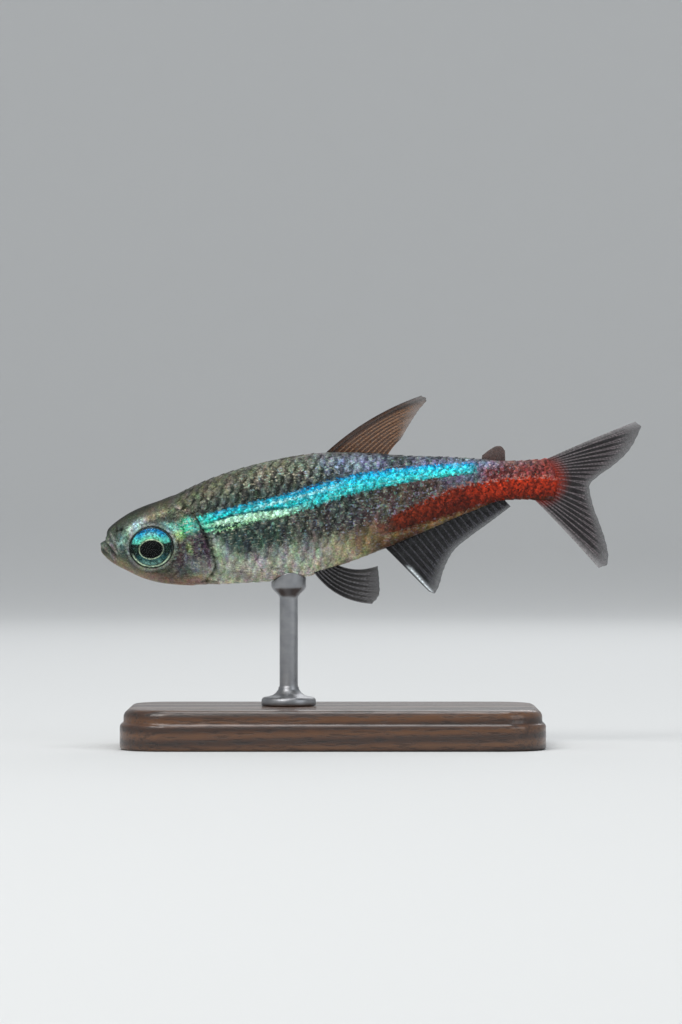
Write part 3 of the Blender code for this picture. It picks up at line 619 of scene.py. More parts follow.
class Bench:
    """One material, and short calls that add nodes to it and return their outputs."""

    def __init__(self, name, **fixed):
        self.material = bpy.data.materials.new(name)
        self.material.use_nodes = True
        self.tree = self.material.node_tree
        self.shader = self.tree.nodes["Principled BSDF"]
        self.set(**fixed)
        self.object_place = None

    def set(self, **values):
        """Sets or links the shader's sockets; a name's underscores stand for spaces."""
        for name, value in values.items():
            self.feed(self.shader.inputs[name.replace("_", " ")], value)

    def feed(self, socket, value):
        """Links a socket to an output, or sets it to a plain value."""
        if isinstance(value, bpy.types.NodeSocket):
            self.tree.links.new(value, socket)
        elif socket.type == "RGBA" and len(value) == 3:
            socket.default_value = (*value, 1.0)
        else:
            socket.default_value = value

    def add(self, kind, sockets, **settings):
        """A new node with its settings made and its sockets fed."""
        node = self.tree.nodes.new("ShaderNode" + kind)
        for name, value in settings.items():
            setattr(node, name, value)
        for key, value in sockets.items():
            self.feed(node.inputs[key], value)
        return node

    def place(self):
        """Object coordinates in millimetres."""
        if self.object_place is None:
            here = self.add("TexCoord", {}).outputs["Object"]
            size = (1 / MM, 1 / MM, 1 / MM)
            self.object_place = self.add("Mapping", {"Vector": here, "Scale": size}).outputs[0]
        return self.object_place

    def read(self, name, colour=False):
        """What the mesh carries under a name, as a number or a colour."""
        node = self.add("Attribute", {}, attribute_name=name)
        return node.outputs["Color" if colour else "Fac"]

    def math(self, operation, a, b=0.0):
        """One sum of two numbers."""
        return self.add("Math", {0: a, 1: b}, operation=operation).outputs[0]

    def plus(self, a, b):
        return self.math("ADD", a, b)

    def times(self, first, *others):
        """The product of two or more numbers."""
        for other in others:
            first = self.math("MULTIPLY", first, other)
        return first

    def step(self, value, low, high, out_low=0.0, out_high=1.0):
        """A soft S from one level to another as the value goes from low to high."""
        sockets = {0: value, 1: low, 2: high, 3: out_low, 4: out_high}
        return self.add("MapRange", sockets, interpolation_type="SMOOTHSTEP").outputs[0]

    def within(self, value, rise_from, rise_to, fall_from, fall_to):
        """1 between two soft slopes and 0 outside them."""
        rise = self.step(value, rise_from, rise_to)
        return self.times(rise, self.step(value, fall_from, fall_to, 1.0, 0.0))

    def over(self, under, paint_on_top, cover):
        """Lays one paint over another where cover is 1."""
        return self.add("Mix", {0: cover, 6: under, 7: paint_on_top}, data_type="RGBA").outputs[2]

    def dim(self, colour, factor):
        """A colour times a number."""
        return self.add("VectorMath", {0: colour, "Scale": factor}, operation="SCALE").outputs[0]

    def vary(self, colour, value, low, high, dark, bright):
        """A colour times a soft S of the value."""
        return self.dim(colour, self.step(value, low, high, dark, bright))

    def ramp(self, value, stops):
        """Paints spread along a value, from (place, colour) pairs."""
        node = self.add("ValToRGB", {0: value})
        band = node.color_ramp
        while len(band.elements) < len(stops):
            band.elements.new(0.5)
        for element, (where, colour) in zip(band.elements, stops):
            element.position = where
            element.color = (*colour, 1.0)
        return node.outputs[0]

    def noise(self, per_mm, detail=2.0, rough=0.5, place=None):
        """Smooth noise of about 0 to 1, with so many waves to the mm."""
        sockets = {"Vector": place or self.place(), "Scale": per_mm, "Detail": detail, "Roughness": rough}
        return self.add("TexNoise", sockets).outputs[0]

    def stretched(self, along, side, up):
        """Coordinates that run along the fish, with so many units to the mm each way, for streaks."""
        sockets = {"Vector": self.place(), "Rotation": (0.0, -NOSE_DOWN, 0.0),
                   "Scale": (1 / along, 1 / side, 1 / up)}
        return self.add("Mapping", sockets, vector_type="TEXTURE").outputs[0]

    def tinted(self, colour, per_mm, spread, place=None):
        """A colour whose red, green and blue each drift by a noise of their own."""
        sockets = {"Vector": place or self.place(), "Scale": per_mm}
        drift = self.add("TexNoise", sockets).outputs["Color"]
        sockets = {0: drift, 1: (spread,) * 3, 2: (1 - spread / 2,) * 3}
        gain = self.add("VectorMath", sockets, operation="MULTIPLY_ADD").outputs[0]
        return self.add("VectorMath", {0: colour, 1: gain}, operation="MULTIPLY").outputs[0]

    def wobbled(self, reach_mm, per_mm):
        """Object coordinates pushed about by noise, so that a grain's edges are uneven."""
        sockets = {"Vector": self.place(), "Scale": per_mm, "Detail": 1.0}
        push = self.add("TexNoise", sockets).outputs["Color"]
        centred = self.add("VectorMath", {0: push, 1: (0.5, 0.5, 0.5)}, operation="SUBTRACT").outputs[0]
        sockets = {0: centred, 1: (2 * reach_mm,) * 3, 2: self.place()}
        return self.add("VectorMath", sockets, operation="MULTIPLY_ADD").outputs[0]

    def cells(self, per_mm, place=None):
        """Random grains: three random numbers for each, and the distance from its middle."""
        node = self.add("TexVoronoi", {"Vector": place or self.place(), "Scale": per_mm})
        parts = self.add("SeparateColor", {0: node.outputs["Color"]})
        return (*parts.outputs[:3], node.outputs["Distance"])

    def bump(self, height, depth_mm):
        """Raises the surface by depth where the height is 1."""
        sockets = {"Height": height, "Distance": depth_mm * MM, "Strength": 1.0}
        return self.add("Bump", sockets).outputs[0]


# %% [markdown]
# ## Fish skin
# A neon tetra's colours are tiny grains: black pigment dots, silvery crystals, and in the stripe
# crystals that mirror blue and green. The crystals' glints are painted into the colour as highlights.
# So every colour here is broken into random cells some 0.1 mm across, the size that the eye just
# makes out, and the edges of the stripe and of the red patch wander by about one cell. Skin and
# scales share the recipe, so the markings run on.

# %% Paints of the markings and sizes of the grains
STRIPE_BAND = ((0.0, paint(44, 156, 152)), (0.25, paint(58, 206, 208)), (0.65, paint(40, 198, 226)),
               (0.86, paint(24, 166, 216)), (1.0, paint(20, 92, 154)))
STRIPE_FRONT = ((0.0, paint(150, 206, 150)), (0.20, paint(196, 246, 208)), (0.36, paint(190, 250, 216)),
                (0.42, paint(34, 104, 100)), (0.49, paint(20, 84, 92)), (0.57, paint(40, 210, 212)),
                (0.72, paint(34, 188, 204)), (0.88, paint(26, 158, 188)), (1.0, paint(18, 84, 110)))
# Paints of the painted glints and painted highlight streaks laid over the ground
GLINTS = ((0.0, paint(226, 214, 184)), (0.25, paint(212, 208, 184)), (0.45, paint(140, 204, 170)),
          (0.62, paint(150, 182, 214)), (0.80, paint(190, 180, 222)), (1.0, paint(226, 190, 190)))
RED_RUN = ((0.0, paint(100, 30, 8)), (0.45, paint(102, 24, 4)), (0.72, paint(150, 38, 7)),
           (1.0, paint(146, 38, 12)))
RED_RIM = paint(186, 132, 120)
STRIPE_GAP, STRIPE_START, STRIPE_GLEAM = paint(26, 62, 56), paint(70, 206, 178), paint(196, 250, 246)
GRAINS_PER_MM = 10.0
FINE_GRAINS_PER_MM = 20.0
DOTS_PER_MM = 7.5


class Coat(Bench):
    """The workbench of the fish's coat, with the grains that all its layers share."""

    def __init__(self, name):
        super().__init__(name, IOR=1.45, Specular_IOR_Level=0.28)
        self.along, self.pigment, self.shine = self.read("along"), self.read("pigment"), self.read("shine")
        self.uneven = self.wobbled(0.05, 9.0)
        self.one, self.two, self.three, self.middle = self.cells(GRAINS_PER_MM, self.uneven)
        self.fine = self.cells(FINE_GRAINS_PER_MM, self.uneven)[0]
        self.drift, self.soft = self.noise(7.0, 3.0), self.noise(1.6, 3.0)
        # Where painted glints and painted highlight streaks go
        self.glint = self.times(self.step(self.two, 0.74, 0.92),
                                self.step(self.middle, 0.35, 0.60, 1.0, 0.0))
        self.stroke = self.step(self.noise(1.0, 2.0, 0.5, self.stretched(2.8, 3.0, 8.5)), 0.53, 0.63)
        self.wander = self.plus(self.times(self.plus(self.one, -0.5), 0.22),
                                self.times(self.plus(self.drift, -0.5), 0.5))


# %% Grains of the ground


def grainy_ground(coat):
    """The ground paint broken into grains and streaks, with painted glints, painted highlight streaks and
    dark dots over it.
    """
    strong = coat.step(coat.pigment, 0.05, 1.0, 0.12, 1.0)
    grain = coat.times(coat.step(coat.one, 0.0, 1.0, -0.52, 0.52), strong)
    streak = coat.noise(1.0, 2.0, 0.5, coat.stretched(3.6, 1.5, 0.9))
    grain = coat.plus(grain, coat.times(coat.plus(streak, -0.5), 2.6, strong))
    ground = coat.dim(coat.read("paint", colour=True), coat.math("MAXIMUM", coat.plus(grain, 1.0), 0.25))
    ground = coat.vary(ground, coat.fine, 0.0, 1.0, 0.78, 1.22)
    ground = coat.vary(ground, coat.soft, 0.3, 0.7, 0.80, 1.20)
    ground = coat.vary(ground, coat.middle, 0.15, 0.75, 1.12, 0.80)
    ground = coat.tinted(ground, 1.0, 0.95, coat.stretched(2.4, 1.3, 0.8))
    ground = coat.tinted(ground, 6.5, 0.55)
    # Painted glints and painted highlight streaks, most where the coat shines
    hue = coat.plus(coat.times(coat.three, 0.6), coat.step(coat.along, 8.0, 20.0, 0.0, 0.4))
    lit = coat.times(coat.stroke, coat.step(coat.two, 0.2, 0.6, 0.3, 1.0))
    bright = coat.times(coat.math("MAXIMUM", coat.glint, lit), coat.shine, 0.8)
    ground = coat.over(ground, coat.ramp(hue, GLINTS), bright)
    far = coat.cells(DOTS_PER_MM, coat.uneven)[3]
    dot = coat.times(coat.step(far, 0.18, 0.40, 1.0, 0.0), coat.pigment)
    return coat.vary(ground, dot, 0.0, 1.0, 1.0, 0.55)


# %% Red patch


def red_over(coat, body):
    """The red patch, lighter towards its top and darker below as a painted highlight and shade, and pale
    grains along its upper edge.
    """
    red = coat.plus(coat.read("red"), coat.wander)
    reach = coat.plus(coat.along, coat.times(coat.plus(coat.soft, -0.5), 2.4))
    cover = coat.times(coat.within(red, -0.04, 0.10, 0.96, 1.10), coat.step(reach, 14.8, 16.2))
    colour = coat.ramp(coat.step(coat.along, 16.0, 24.5), RED_RUN)
    # Painted highlight towards the top of the patch, painted shade towards its bottom
    colour = coat.vary(colour, red, 0.05, 0.80, 0.55, 1.22)
    colour = coat.vary(colour, coat.two, 0.0, 1.0, 0.42, 1.62)
    colour = coat.vary(colour, coat.fine, 0.0, 1.0, 0.80, 1.20)
    body = coat.over(body, colour, coat.times(cover, 0.95))
    rim = coat.times(coat.within(red, 0.94, 1.0, 1.06, 1.14), coat.step(coat.along, 17.5, 19.5),
                     coat.step(coat.three, 0.3, 0.7))
    return coat.over(body, RED_RIM, coat.times(rim, 0.7))


# %% Stripe


def stripe_over(coat, body):
    """The blue-green stripe in two layers with a dark gap in front and a painted highlight along it, and
    how much it covers.
    """
    along, two = coat.along, coat.two
    across = coat.plus(coat.read("stripe"), coat.times(coat.wander, 0.55))
    ragged = coat.plus(along, coat.times(coat.plus(two, -0.5), 0.5))
    cover = coat.times(coat.within(across, -0.03, 0.07, 0.93, 1.03),
                       coat.step(coat.read("behind"), 0.06, 0.13), coat.step(ragged, 20.5, 21.1, 1.0, 0.0))
    layer = coat.plus(coat.read("layer"), coat.times(coat.wander, 0.22))
    band = coat.over(coat.ramp(layer, STRIPE_FRONT), coat.ramp(across, STRIPE_BAND),
                     coat.step(along, 9.6, 12.2))
    gap = coat.times(coat.within(across, 0.10, 0.15, 0.23, 0.30), coat.step(along, 7.6, 8.4, 1.0, 0.0))
    ended = coat.times(coat.step(across, 0.08, 0.14, 1.0, 0.0), coat.step(along, 7.5, 7.9),
                       coat.step(along, 9.0, 9.8, 0.8, 0.0))
    band = coat.over(band, STRIPE_GAP, coat.math("MAXIMUM", gap, ended))
    band = coat.over(band, STRIPE_START, coat.step(along, 5.7, 6.8, 0.65, 0.0))
    band = coat.vary(band, two, 0.0, 1.0, 0.50, 1.58)
    band = coat.vary(band, coat.fine, 0.0, 1.0, 0.74, 1.22)
    band = coat.vary(band, coat.middle, 0.15, 0.75, 1.10, 0.80)
    band = coat.tinted(band, 5.0, 0.6)
    # A painted highlight: a pale line along the stripe's upper middle, and pale streaks over it
    line = coat.times(coat.within(across, 0.58, 0.64, 0.70, 0.77), coat.within(along, 8.0, 9.4, 12.4, 14.0))
    gleam = coat.math("MAXIMUM", coat.times(line, coat.step(two, 0.15, 0.5, 0.2, 1.0)),
                      coat.times(coat.stroke, 0.28))
    band = coat.over(band, STRIPE_GLEAM, coat.times(gleam, 0.75))
    return coat.over(body, band, cover), cover


# %% Scale edges, and all layers together


def scale_shade(coat, body, cover):
    """A dark rear edge on each scale, a painted highlight on its middle and a tone of its own."""
    rear = coat.read("rear")
    shade = coat.times(coat.step(rear, 0.62, 0.84), coat.step(rear, 0.93, 1.0, 1.0, 0.35),
                       coat.plus(coat.times(coat.pigment, 0.78), 0.02),
                       coat.step(coat.along, 12.0, 17.0, 1.0, 0.5), coat.step(cover, 0.0, 1.0, 1.0, 0.45),
                       coat.step(coat.three, 0.1, 0.6, 0.40, 1.0))
    body = coat.vary(body, shade, 0.0, 1.0, 1.0, 0.15)
    body = coat.vary(body, coat.read("tone"), 0.0, 1.0, 0.84, 1.16)
    # A painted highlight on the middle of each scale
    middle = coat.times(coat.within(rear, 0.30, 0.52, 0.58, 0.76), coat.pigment, 0.28)
    return coat.dim(body, coat.plus(1.0, middle))


def skin_look(name, plates=False):
    """The fish's coat: ground, red patch and stripe, and on scales their edges and growth rings."""
    coat = Coat(name)
    body, cover = stripe_over(coat, red_over(coat, grainy_ground(coat)))
    relief = coat.plus(coat.times(coat.one, 0.5), coat.times(coat.drift, 0.8))
    if plates:
        body = scale_shade(coat, body, cover)
        rings = coat.math("SINE", coat.times(coat.read("rear"), 90.0))
        relief = coat.plus(relief, coat.times(rings, 0.12))
    coat.set(Base_Color=body, Metallic=coat.plus(coat.times(coat.shine, 0.30), coat.times(cover, 0.30)),
             Roughness=coat.plus(0.50, coat.times(coat.glint, -0.14)), Normal=coat.bump(relief, 0.006))
    print(f"{name}: {len(coat.tree.nodes)} shader nodes")
    return coat.material


skin_paint, scale_paint = skin_look("fish_skin"), skin_look("scale_coat", plates=True)

# %% [markdown]
# ## The skin
# One closed skin covers head, trunk and tail stem, so no seam shows where the solids are parted.
# It is a grid of distance from the snout by angle round the body, with the rows drawn together on
# the head. The head's features are written as heights over that grid: a groove is a bell-shaped dip
# along a route, the gill cover a slow rise that ends in a sharp step, the eye's socket a pit.

# %% Features of the head
EYE_RADIUS = 1.18
EYE_SINK = 0.05
EYE_FORWARD, EYE_DOWN = math.radians(9), math.radians(4)
MOUTH_CLEFT = ((-0.35, 0.50), (0.10, 0.20), (0.30, 0.05), (0.50, -0.21), (0.70, -0.58), (0.88, -0.90))
CHEEK_GROOVE = ((3.95, 0.15), (4.30, -0.25), (4.48, -0.85), (4.42, -1.50), (4.10, -2.05), (3.50, -2.38))
COAT_DEPTH = 0.035  # how far the skin lies inside the scales' outer faces
CLEFT_DEPTH, CLEFT_WIDTH = 0.10, 0.04
LIP_HEIGHT, LIP_OFFSET, LIP_WIDTH = 0.055, 0.13, 0.07  # a ridge to either side of the cleft
CROWN_DEPTH, CROWN_WIDTH = 0.035, 0.11  # groove along the top of the head
THROAT_DEPTH, THROAT_WIDTH = 0.04, 0.09  # groove between the lower jaws
COVER_HEIGHT = 0.10  # of the gill cover's edge, and depth of the trench behind it
UPPER_JAW_BACK, LOWER_JAW_FORWARD = 0.24, 0.07
FOLD_HEIGHT, FOLD_GROOVE = 0.035, 0.03  # fold of skin round an eye and the groove outside it
SOCKET_DEPTH = 0.62

# Grooves and ridges of the head's bones: side-view route, half width, height
BONES = (
    (CHEEK_GROOVE, 0.07, -0.085),
    (((3.75, 0.12), (4.10, -0.28), (4.27, -0.85), (4.22, -1.45), (3.94, -1.92)), 0.10, 0.03),
    (((1.50, -1.25), (2.05, -1.80), (2.90, -2.06), (3.65, -1.90), (4.05, -1.40)), 0.06, -0.04),
    (((3.45, -1.55), (3.72, -1.90)), 0.05, -0.03),
    (((3.98, -0.75), (4.40, -0.80)), 0.05, -0.03),
    (((4.50, -1.78), (5.10, -1.90), (5.60, -1.70), (5.98, -1.30)), 0.05, -0.035),
    (((4.55, 0.10), (5.00, -0.55), (5.35, -1.30)), 0.16, 0.03),
    (((0.95, -0.95), (1.50, -1.38), (2.20, -1.82)), 0.06, -0.035),
    (((0.62, 0.40), (0.86, -0.02), (1.04, -0.50), (1.08, -0.90)), 0.09, 0.055),
    (((0.80, 0.50), (1.04, 0.06), (1.22, -0.42), (1.26, -0.86)), 0.05, -0.045),
    (((2.30, 1.00), (3.10, 1.15), (3.90, 0.95)), 0.10, 0.03),
    (((3.20, -2.30), (4.20, -2.52), (5.30, -2.50)), 0.04, -0.03),
    (((3.00, -2.38), (4.20, -2.66), (5.10, -2.68)), 0.04, -0.03),
)
# Nostril pits and the flap between them: place, radius, height
PITS = (((1.00, 0.66), 0.065, -0.13), ((1.24, 0.68), 0.085, -0.16), ((1.12, 0.69), 0.05, 0.06))


def eye_frame():
    """The right eye's centre, and its forward, upward and outward directions."""
    reach_back, reach_belly, _ = body_section(EYE_CENTRE[0])
    widest = reach_back - WIDEST_FROM_BACK * (reach_back - reach_belly)
    span = reach_back - widest if EYE_CENTRE[1] > widest else widest - reach_belly
    around = math.acos((EYE_CENTRE[1] - widest) / span)
    outward = unit(np.array([-math.sin(EYE_FORWARD), math.cos(EYE_FORWARD) * math.cos(EYE_DOWN),
                             -math.sin(EYE_DOWN)]))
    centre = body_surface(EYE_CENTRE[0], around) - outward * EYE_SINK
    upward = unit(np.array([0.0, 0.0, 1.0]) - outward[2] * outward)
    return centre, np.cross(upward, outward), upward, outward


def head_relief(points):
    """How far the skin stands out of the plain body at points of the head, in mm."""
    along, side, height = points.T
    rise = np.zeros(len(points))
    distance, share, _ = from_route(MOUTH_CLEFT, along, height)
    corner = 1 - smoothstep(0.86, 1.0, share)
    deep = 0.45 + 0.55 * smoothstep(0.15, 0.45, share)
    lip = LIP_HEIGHT * bell(distance - LIP_OFFSET, LIP_WIDTH)
    rise += corner * deep * (lip - CLEFT_DEPTH * bell(distance, CLEFT_WIDTH))
    for route, width, tall in BONES:
        distance, share, _ = from_route(route, along, height)
        rise += tall * within(share, 0, 0.15, 0.85, 1) * bell(distance, width)
    for (x, z), radius, tall in PITS:
        rise += tall * bell(np.hypot(along - x, height - z), radius)
    crown = CROWN_DEPTH * bell(side, CROWN_WIDTH) * within(along, 1.3, 2.0, 3.6, 4.3)
    throat = THROAT_DEPTH * bell(side, THROAT_WIDTH) * within(along, 1.2, 1.8, 5.0, 5.8)
    rise -= np.where((height > 0.6) & (along > 1.2), crown, 0) + np.where(height < -1.2, throat, 0)
    behind, share = gill_distance(along, height)
    open_part = within(share, 0.17, 0.27, 0.78, 0.92)
    cover = COVER_HEIGHT * within(behind, -2.0, -0.10, -0.02, 0.03)
    cover += 0.03 * bell(behind + 0.13, 0.08)
    cover -= COVER_HEIGHT * within(behind, -0.03, 0.04, 0.10, 0.55)
    return rise + open_part * cover


def set_back_upper_jaw(points):
    """Draws the front of the upper jaw back, so that the lower jaw's tip stands out under it."""
    along, _, height = points.T
    front = within(height, 0.05, 0.32, 0.34, 0.98)
    moved = points.copy()
    moved[:, 0] += UPPER_JAW_BACK * front * (1 - smoothstep(0.05, 0.95, along))
    tip = bell(height + 0.38, 0.26) * (1 - smoothstep(0.05, 0.60, along))
    moved[:, 0] -= LOWER_JAW_FORWARD * tip
    return moved


def fold_round_eyes(points):
    """Swells the skin to meet the rim of each eye, and sinks it inside the rim."""
    centre, _, _, outward = eye_frame()
    ahead, up = points[:, 0] - centre[0], points[:, 2] - centre[2]
    from_centre = np.hypot(ahead / EYE_OVAL[0], up / EYE_OVAL[1])
    plane = centre[1] - (ahead * outward[0] + up * outward[2]) / outward[1]
    side = np.abs(points[:, 1])
    meet = 1 - smoothstep(EYE_RADIUS + 0.06, EYE_RADIUS + 0.55, from_centre)
    side = side + (plane + 0.02 - side) * meet
    side += FOLD_HEIGHT * bell(from_centre - EYE_RADIUS - 0.06, 0.07)
    side -= FOLD_GROOVE * bell(from_centre - EYE_RADIUS - 0.26, 0.08)
    pit = 1 - smoothstep(EYE_RADIUS - 0.10, EYE_RADIUS + 0.015, from_centre)
    side -= SOCKET_DEPTH * pit
    wide = np.abs(points[:, 1]) > 0.3
    near = from_centre < EYE_RADIUS + 0.7
    moved = points.copy()
    moved[:, 1] = np.where(wide & near, np.sign(points[:, 1]) * side, points[:, 1])
    return moved


# %% Skin
ROW_STEPS = ((0.0, 0.004), (0.1, 0.016), (0.5, 0.026), (1.0, 0.034), (3.0, 0.038), (6.4, 0.038),
             (7.6, 0.18), (23.8, 0.18), (24.8, 0.06), (25.3, 0.02))
SKIN_SIDES = 296
HEAD_END = 7.5  # the head's relief ends before this distance


def skin_rows():
    """Distances of the rows: how many rows fit up to each place, read backwards at whole rows."""
    fine = np.linspace(0, BODY_END, 4000)
    density = 1 / read_table(ROW_STEPS, fine)
    count = np.concatenate([[0], np.cumsum((density[1:] + density[:-1]) / 2 * np.diff(fine))])
    return np.interp(np.arange(1, int(count[-1])), count, fine)


def build_skin(look):
    """The body's surface, raised by the head's relief and sunk under the scales, with both ends shut."""
    rows = skin_rows()
    around = np.linspace(0, 2 * np.pi, SKIN_SIDES, endpoint=False)
    plain = body_surface(rows[:, None], around[None, :]).reshape(-1, 3)
    normal = body_normal(rows[:, None], around[None, :]).reshape(-1, 3)
    rise, behind = np.zeros(len(plain)), np.ones(len(plain))
    head = plain[:, 0] < HEAD_END
    rise[head] = head_relief(plain[head])
    behind[head] = gill_distance(plain[head, 0], plain[head, 2])[0]
    rise -= COAT_DEPTH * smoothstep(-0.05, 0.30, behind)
    points = fold_round_eyes(set_back_upper_jaw(plain + normal * rise[:, None]))
    ends = body_surface(np.array([0.0, BODY_END]), np.zeros(2))
    points, faces = closed_tube(points.reshape(len(rows), SKIN_SIDES, 3), *ends)
    skin = make_piece("skin", to_world(points), faces, ("head", "trunk", "tail_stem"),
                      look, coat_numbers(np.vstack([plain, ends]), 11, stipple=0.035))
    share = np.append(np.tile(around / (2 * np.pi), len(rows)), [0.0, 0.0])
    give_map(skin.data, "OFBake", np.stack([points[:, 0] / BODY_END, share], axis=-1))


build_skin(skin_paint)

# %% [markdown]
# ## Scales
# A tetra wears round-ended scales like roof tiles, some thirty-five from gill to tail. Each is a
# real plate here: a small closed grid, its front edge buried and its rear edge free, lying over the
# plates behind it.
# Rows keep one distance from the middle of the flank, measured round the body, so they run straight
# and the outer ones end as the body gets slimmer. Odd rows sit half a scale further back.

# %% Distance round the body
ROW_HEIGHT = ((4.0, 0.50), (8.0, 0.56), (12.0, 0.56), (16.0, 0.49), (20.0, 0.39), (25.2, 0.30))
SCALE_SPACING = ((3.0, 0.50), (8.0, 0.56), (14.0, 0.55), (20.0, 0.47), (25.2, 0.38))
MIDDLE_SHARE = 0.50  # of the depth, where the row numbered 0 runs
TABLE_ALONG = np.linspace(2.5, 25.25, 230)
TABLE_AROUND = np.linspace(-0.6, np.pi + 0.6, 440)
table_points = body_surface(TABLE_ALONG[:, None], TABLE_AROUND[None, :])
table_steps = np.diff(table_points, axis=1, prepend=table_points[:, :1])
table_arc = np.cumsum(np.linalg.norm(table_steps, axis=2), axis=1)
table_back, table_belly, _ = body_section(TABLE_ALONG)
middle_height = table_belly + MIDDLE_SHARE * (table_back - table_belly)
flank = (TABLE_AROUND > 0) & (TABLE_AROUND < np.pi)
middle_arc = np.array([np.interp(-middle, -line[flank], arc[flank]) for middle, line, arc in
                       zip(middle_height, table_points[..., 2], table_arc)])
CLIMB = middle_arc[:, None] - table_arc  # distance round the body above the middle
BACK_CLIMB = CLIMB[:, np.abs(TABLE_AROUND).argmin()]
BELLY_CLIMB = CLIMB[:, np.abs(TABLE_AROUND - np.pi).argmin()]
print(f"half way round the body is at most {(BACK_CLIMB - BELLY_CLIMB).max():.2f} mm")


def around_at(along, climb):
    """The angle at each distance from the snout and distance round the body above the middle."""
    place = (along - TABLE_ALONG[0]) / (TABLE_ALONG[1] - TABLE_ALONG[0])
    place = np.clip(place, 0, len(TABLE_ALONG) - 1.001)
    row = place.astype(int)
    share = (place - row)[:, None]
    lines = CLIMB[row] * (1 - share) + CLIMB[row + 1] * share
    spot = np.clip((lines > climb[:, None]).sum(1) - 1, 0, len(TABLE_AROUND) - 2)
    every = np.arange(len(spot))
    high, low = lines[every, spot], lines[every, spot + 1]
    part = np.clip((high - climb) / (high - low), 0, 1)
    return TABLE_AROUND[spot] + part * (TABLE_AROUND[1] - TABLE_AROUND[0])


def scale_columns(shift):
    """Places along the body one spacing apart, all moved by a share of the spacing."""
    fine = np.linspace(3.6, 24.9, 3000)
    spacing = read_table(SCALE_SPACING, fine)
    count = np.concatenate([[0], np.cumsum(np.diff(fine) / spacing[1:])])
    return np.interp(np.arange(0, int(count[-1])) + shift, count, fine)


# %% Scale plates
PLATE_ROWS, PLATE_COLUMNS = 4, 7
PLATE_THICK = 0.008
PLATE_AHEAD, PLATE_BEHIND = 0.95, 0.66  # reach to either side of its place, in spacings
PLATE_HALF_HEIGHT = 0.60  # in row heights
PLATE_END = math.radians(80)  # angle at the plate's upper and lower end
PLATE_FRONT_LIFT = -0.050  # of the buried front edge, from the body's outer surface
PLATE_REAR_LIFT = -0.006
MIDLINE_LIFT = 0.004  # the rows along back and belly lie over their neighbours
MAP_SIZE = 0.003  # of one plate on its map


def plate_pattern():
    """One flat plate: shares from front to rear and across, and its outline's half chord.

    Across runs as the sine of an angle, so that the plate's ends are round.
    """
    angle = np.linspace(-1, 1, PLATE_COLUMNS) * PLATE_END
    across = np.sin(angle) / math.sin(PLATE_END)
    chord = np.cos(angle) ** 0.75
    rear = np.linspace(0, 1, PLATE_ROWS)
    rear, across = np.meshgrid(rear, across, indexing="ij")
    return rear.ravel(), across.ravel(), np.tile(chord, PLATE_ROWS)


def plate_faces(count):
    """Faces of many closed plates, one after the other."""
    size = PLATE_ROWS * PLATE_COLUMNS
    one = np.vstack(sheet_faces(PLATE_ROWS, PLATE_COLUMNS))
    return (one[None] + 2 * size * np.arange(count)[:, None, None]).reshape(-1, 4)


def twice(values, count):
    """A plate's numbers for its upper grid and again for its lower one, for every plate."""
    values = values.reshape(count, 1, -1)
    return np.concatenate([values, values], axis=1).ravel()


def build_scales(name, along, climb, side, seed, lift=0.0):
    """Plates at the given places of the right flank, or mirrored to the left where side is -1."""
    draw = np.random.default_rng(seed)
    count = len(along)
    along = along + draw.normal(0, 0.012, count)
    climb = climb + draw.normal(0, 0.010, count)
    height = read_table(ROW_HEIGHT, along) * draw.uniform(0.97, 1.03, count)
    spacing = read_table(SCALE_SPACING, along)
    tone = draw.uniform(0, 1, count)
    ripple = draw.normal(0, 0.0018, count)
    rear, across, chord = plate_pattern()
    ahead = (PLATE_AHEAD + PLATE_BEHIND) * rear - PLATE_AHEAD
    place = (along[:, None] + spacing[:, None] * ahead * chord).ravel()
    row_share = read_table(ROW_HEIGHT, place) / np.repeat(height, len(rear))
    up = np.repeat(climb, len(rear)) * np.clip(row_share, 0.9, 1.1)
    up += (PLATE_HALF_HEIGHT * height[:, None] * across).ravel() * row_share
    around = around_at(place, up)
    base, normal = body_surface(place, around), body_normal(place, around)
    slope = 0.5 + ahead * chord / (2 * PLATE_BEHIND)
    raised = PLATE_FRONT_LIFT + (PLATE_REAR_LIFT - PLATE_FRONT_LIFT) * slope
    raised = (raised + ripple[:, None] + lift).ravel()
    upper = base + normal * raised[:, None]
    lower = upper - normal * PLATE_THICK
    points = np.stack([upper.reshape(count, -1, 3), lower.reshape(count, -1, 3)], axis=1).reshape(-1, 3)
    points[:, 1] *= side
    faces = plate_faces(count)
    numbers = coat_numbers(points, seed)
    numbers["rear"] = twice(np.tile(rear, (count, 1)), count)
    numbers["tone"] = twice(np.repeat(tone, len(rear)), count)
    piece = make_piece(name, to_world(points), [faces if side > 0 else faces[:, ::-1]], (),
                       scale_paint, numbers)
    root = np.stack([along / BODY_END, around_at(along, climb) / np.pi], axis=-1)
    patch = np.stack([rear - 0.5, across / 2], axis=-1) * MAP_SIZE
    places = (root[:, None, None, :] + np.stack([patch, patch])[None]).reshape(-1, 2)
    give_map(piece.data, "OFBake", np.clip(places, 0, 1))
    print(f"{name}: {count} scales")


# %% Places of the scales
FLANK_ROWS = 10  # above the middle row, and as many below it
LAST_SCALE = 24.75
MIDLINE_CLEAR = 0.30  # row heights kept free along back and belly
GILL_CLEAR = 0.16  # mm kept free behind the gill opening
BACK_STRETCHES = ((4.4, 12.0), (16.3, 20.9), (22.6, 24.2))  # clear of the fins
BELLY_STRETCHES = ((5.6, 10.9), (12.2, 14.6), (22.3, 24.0))


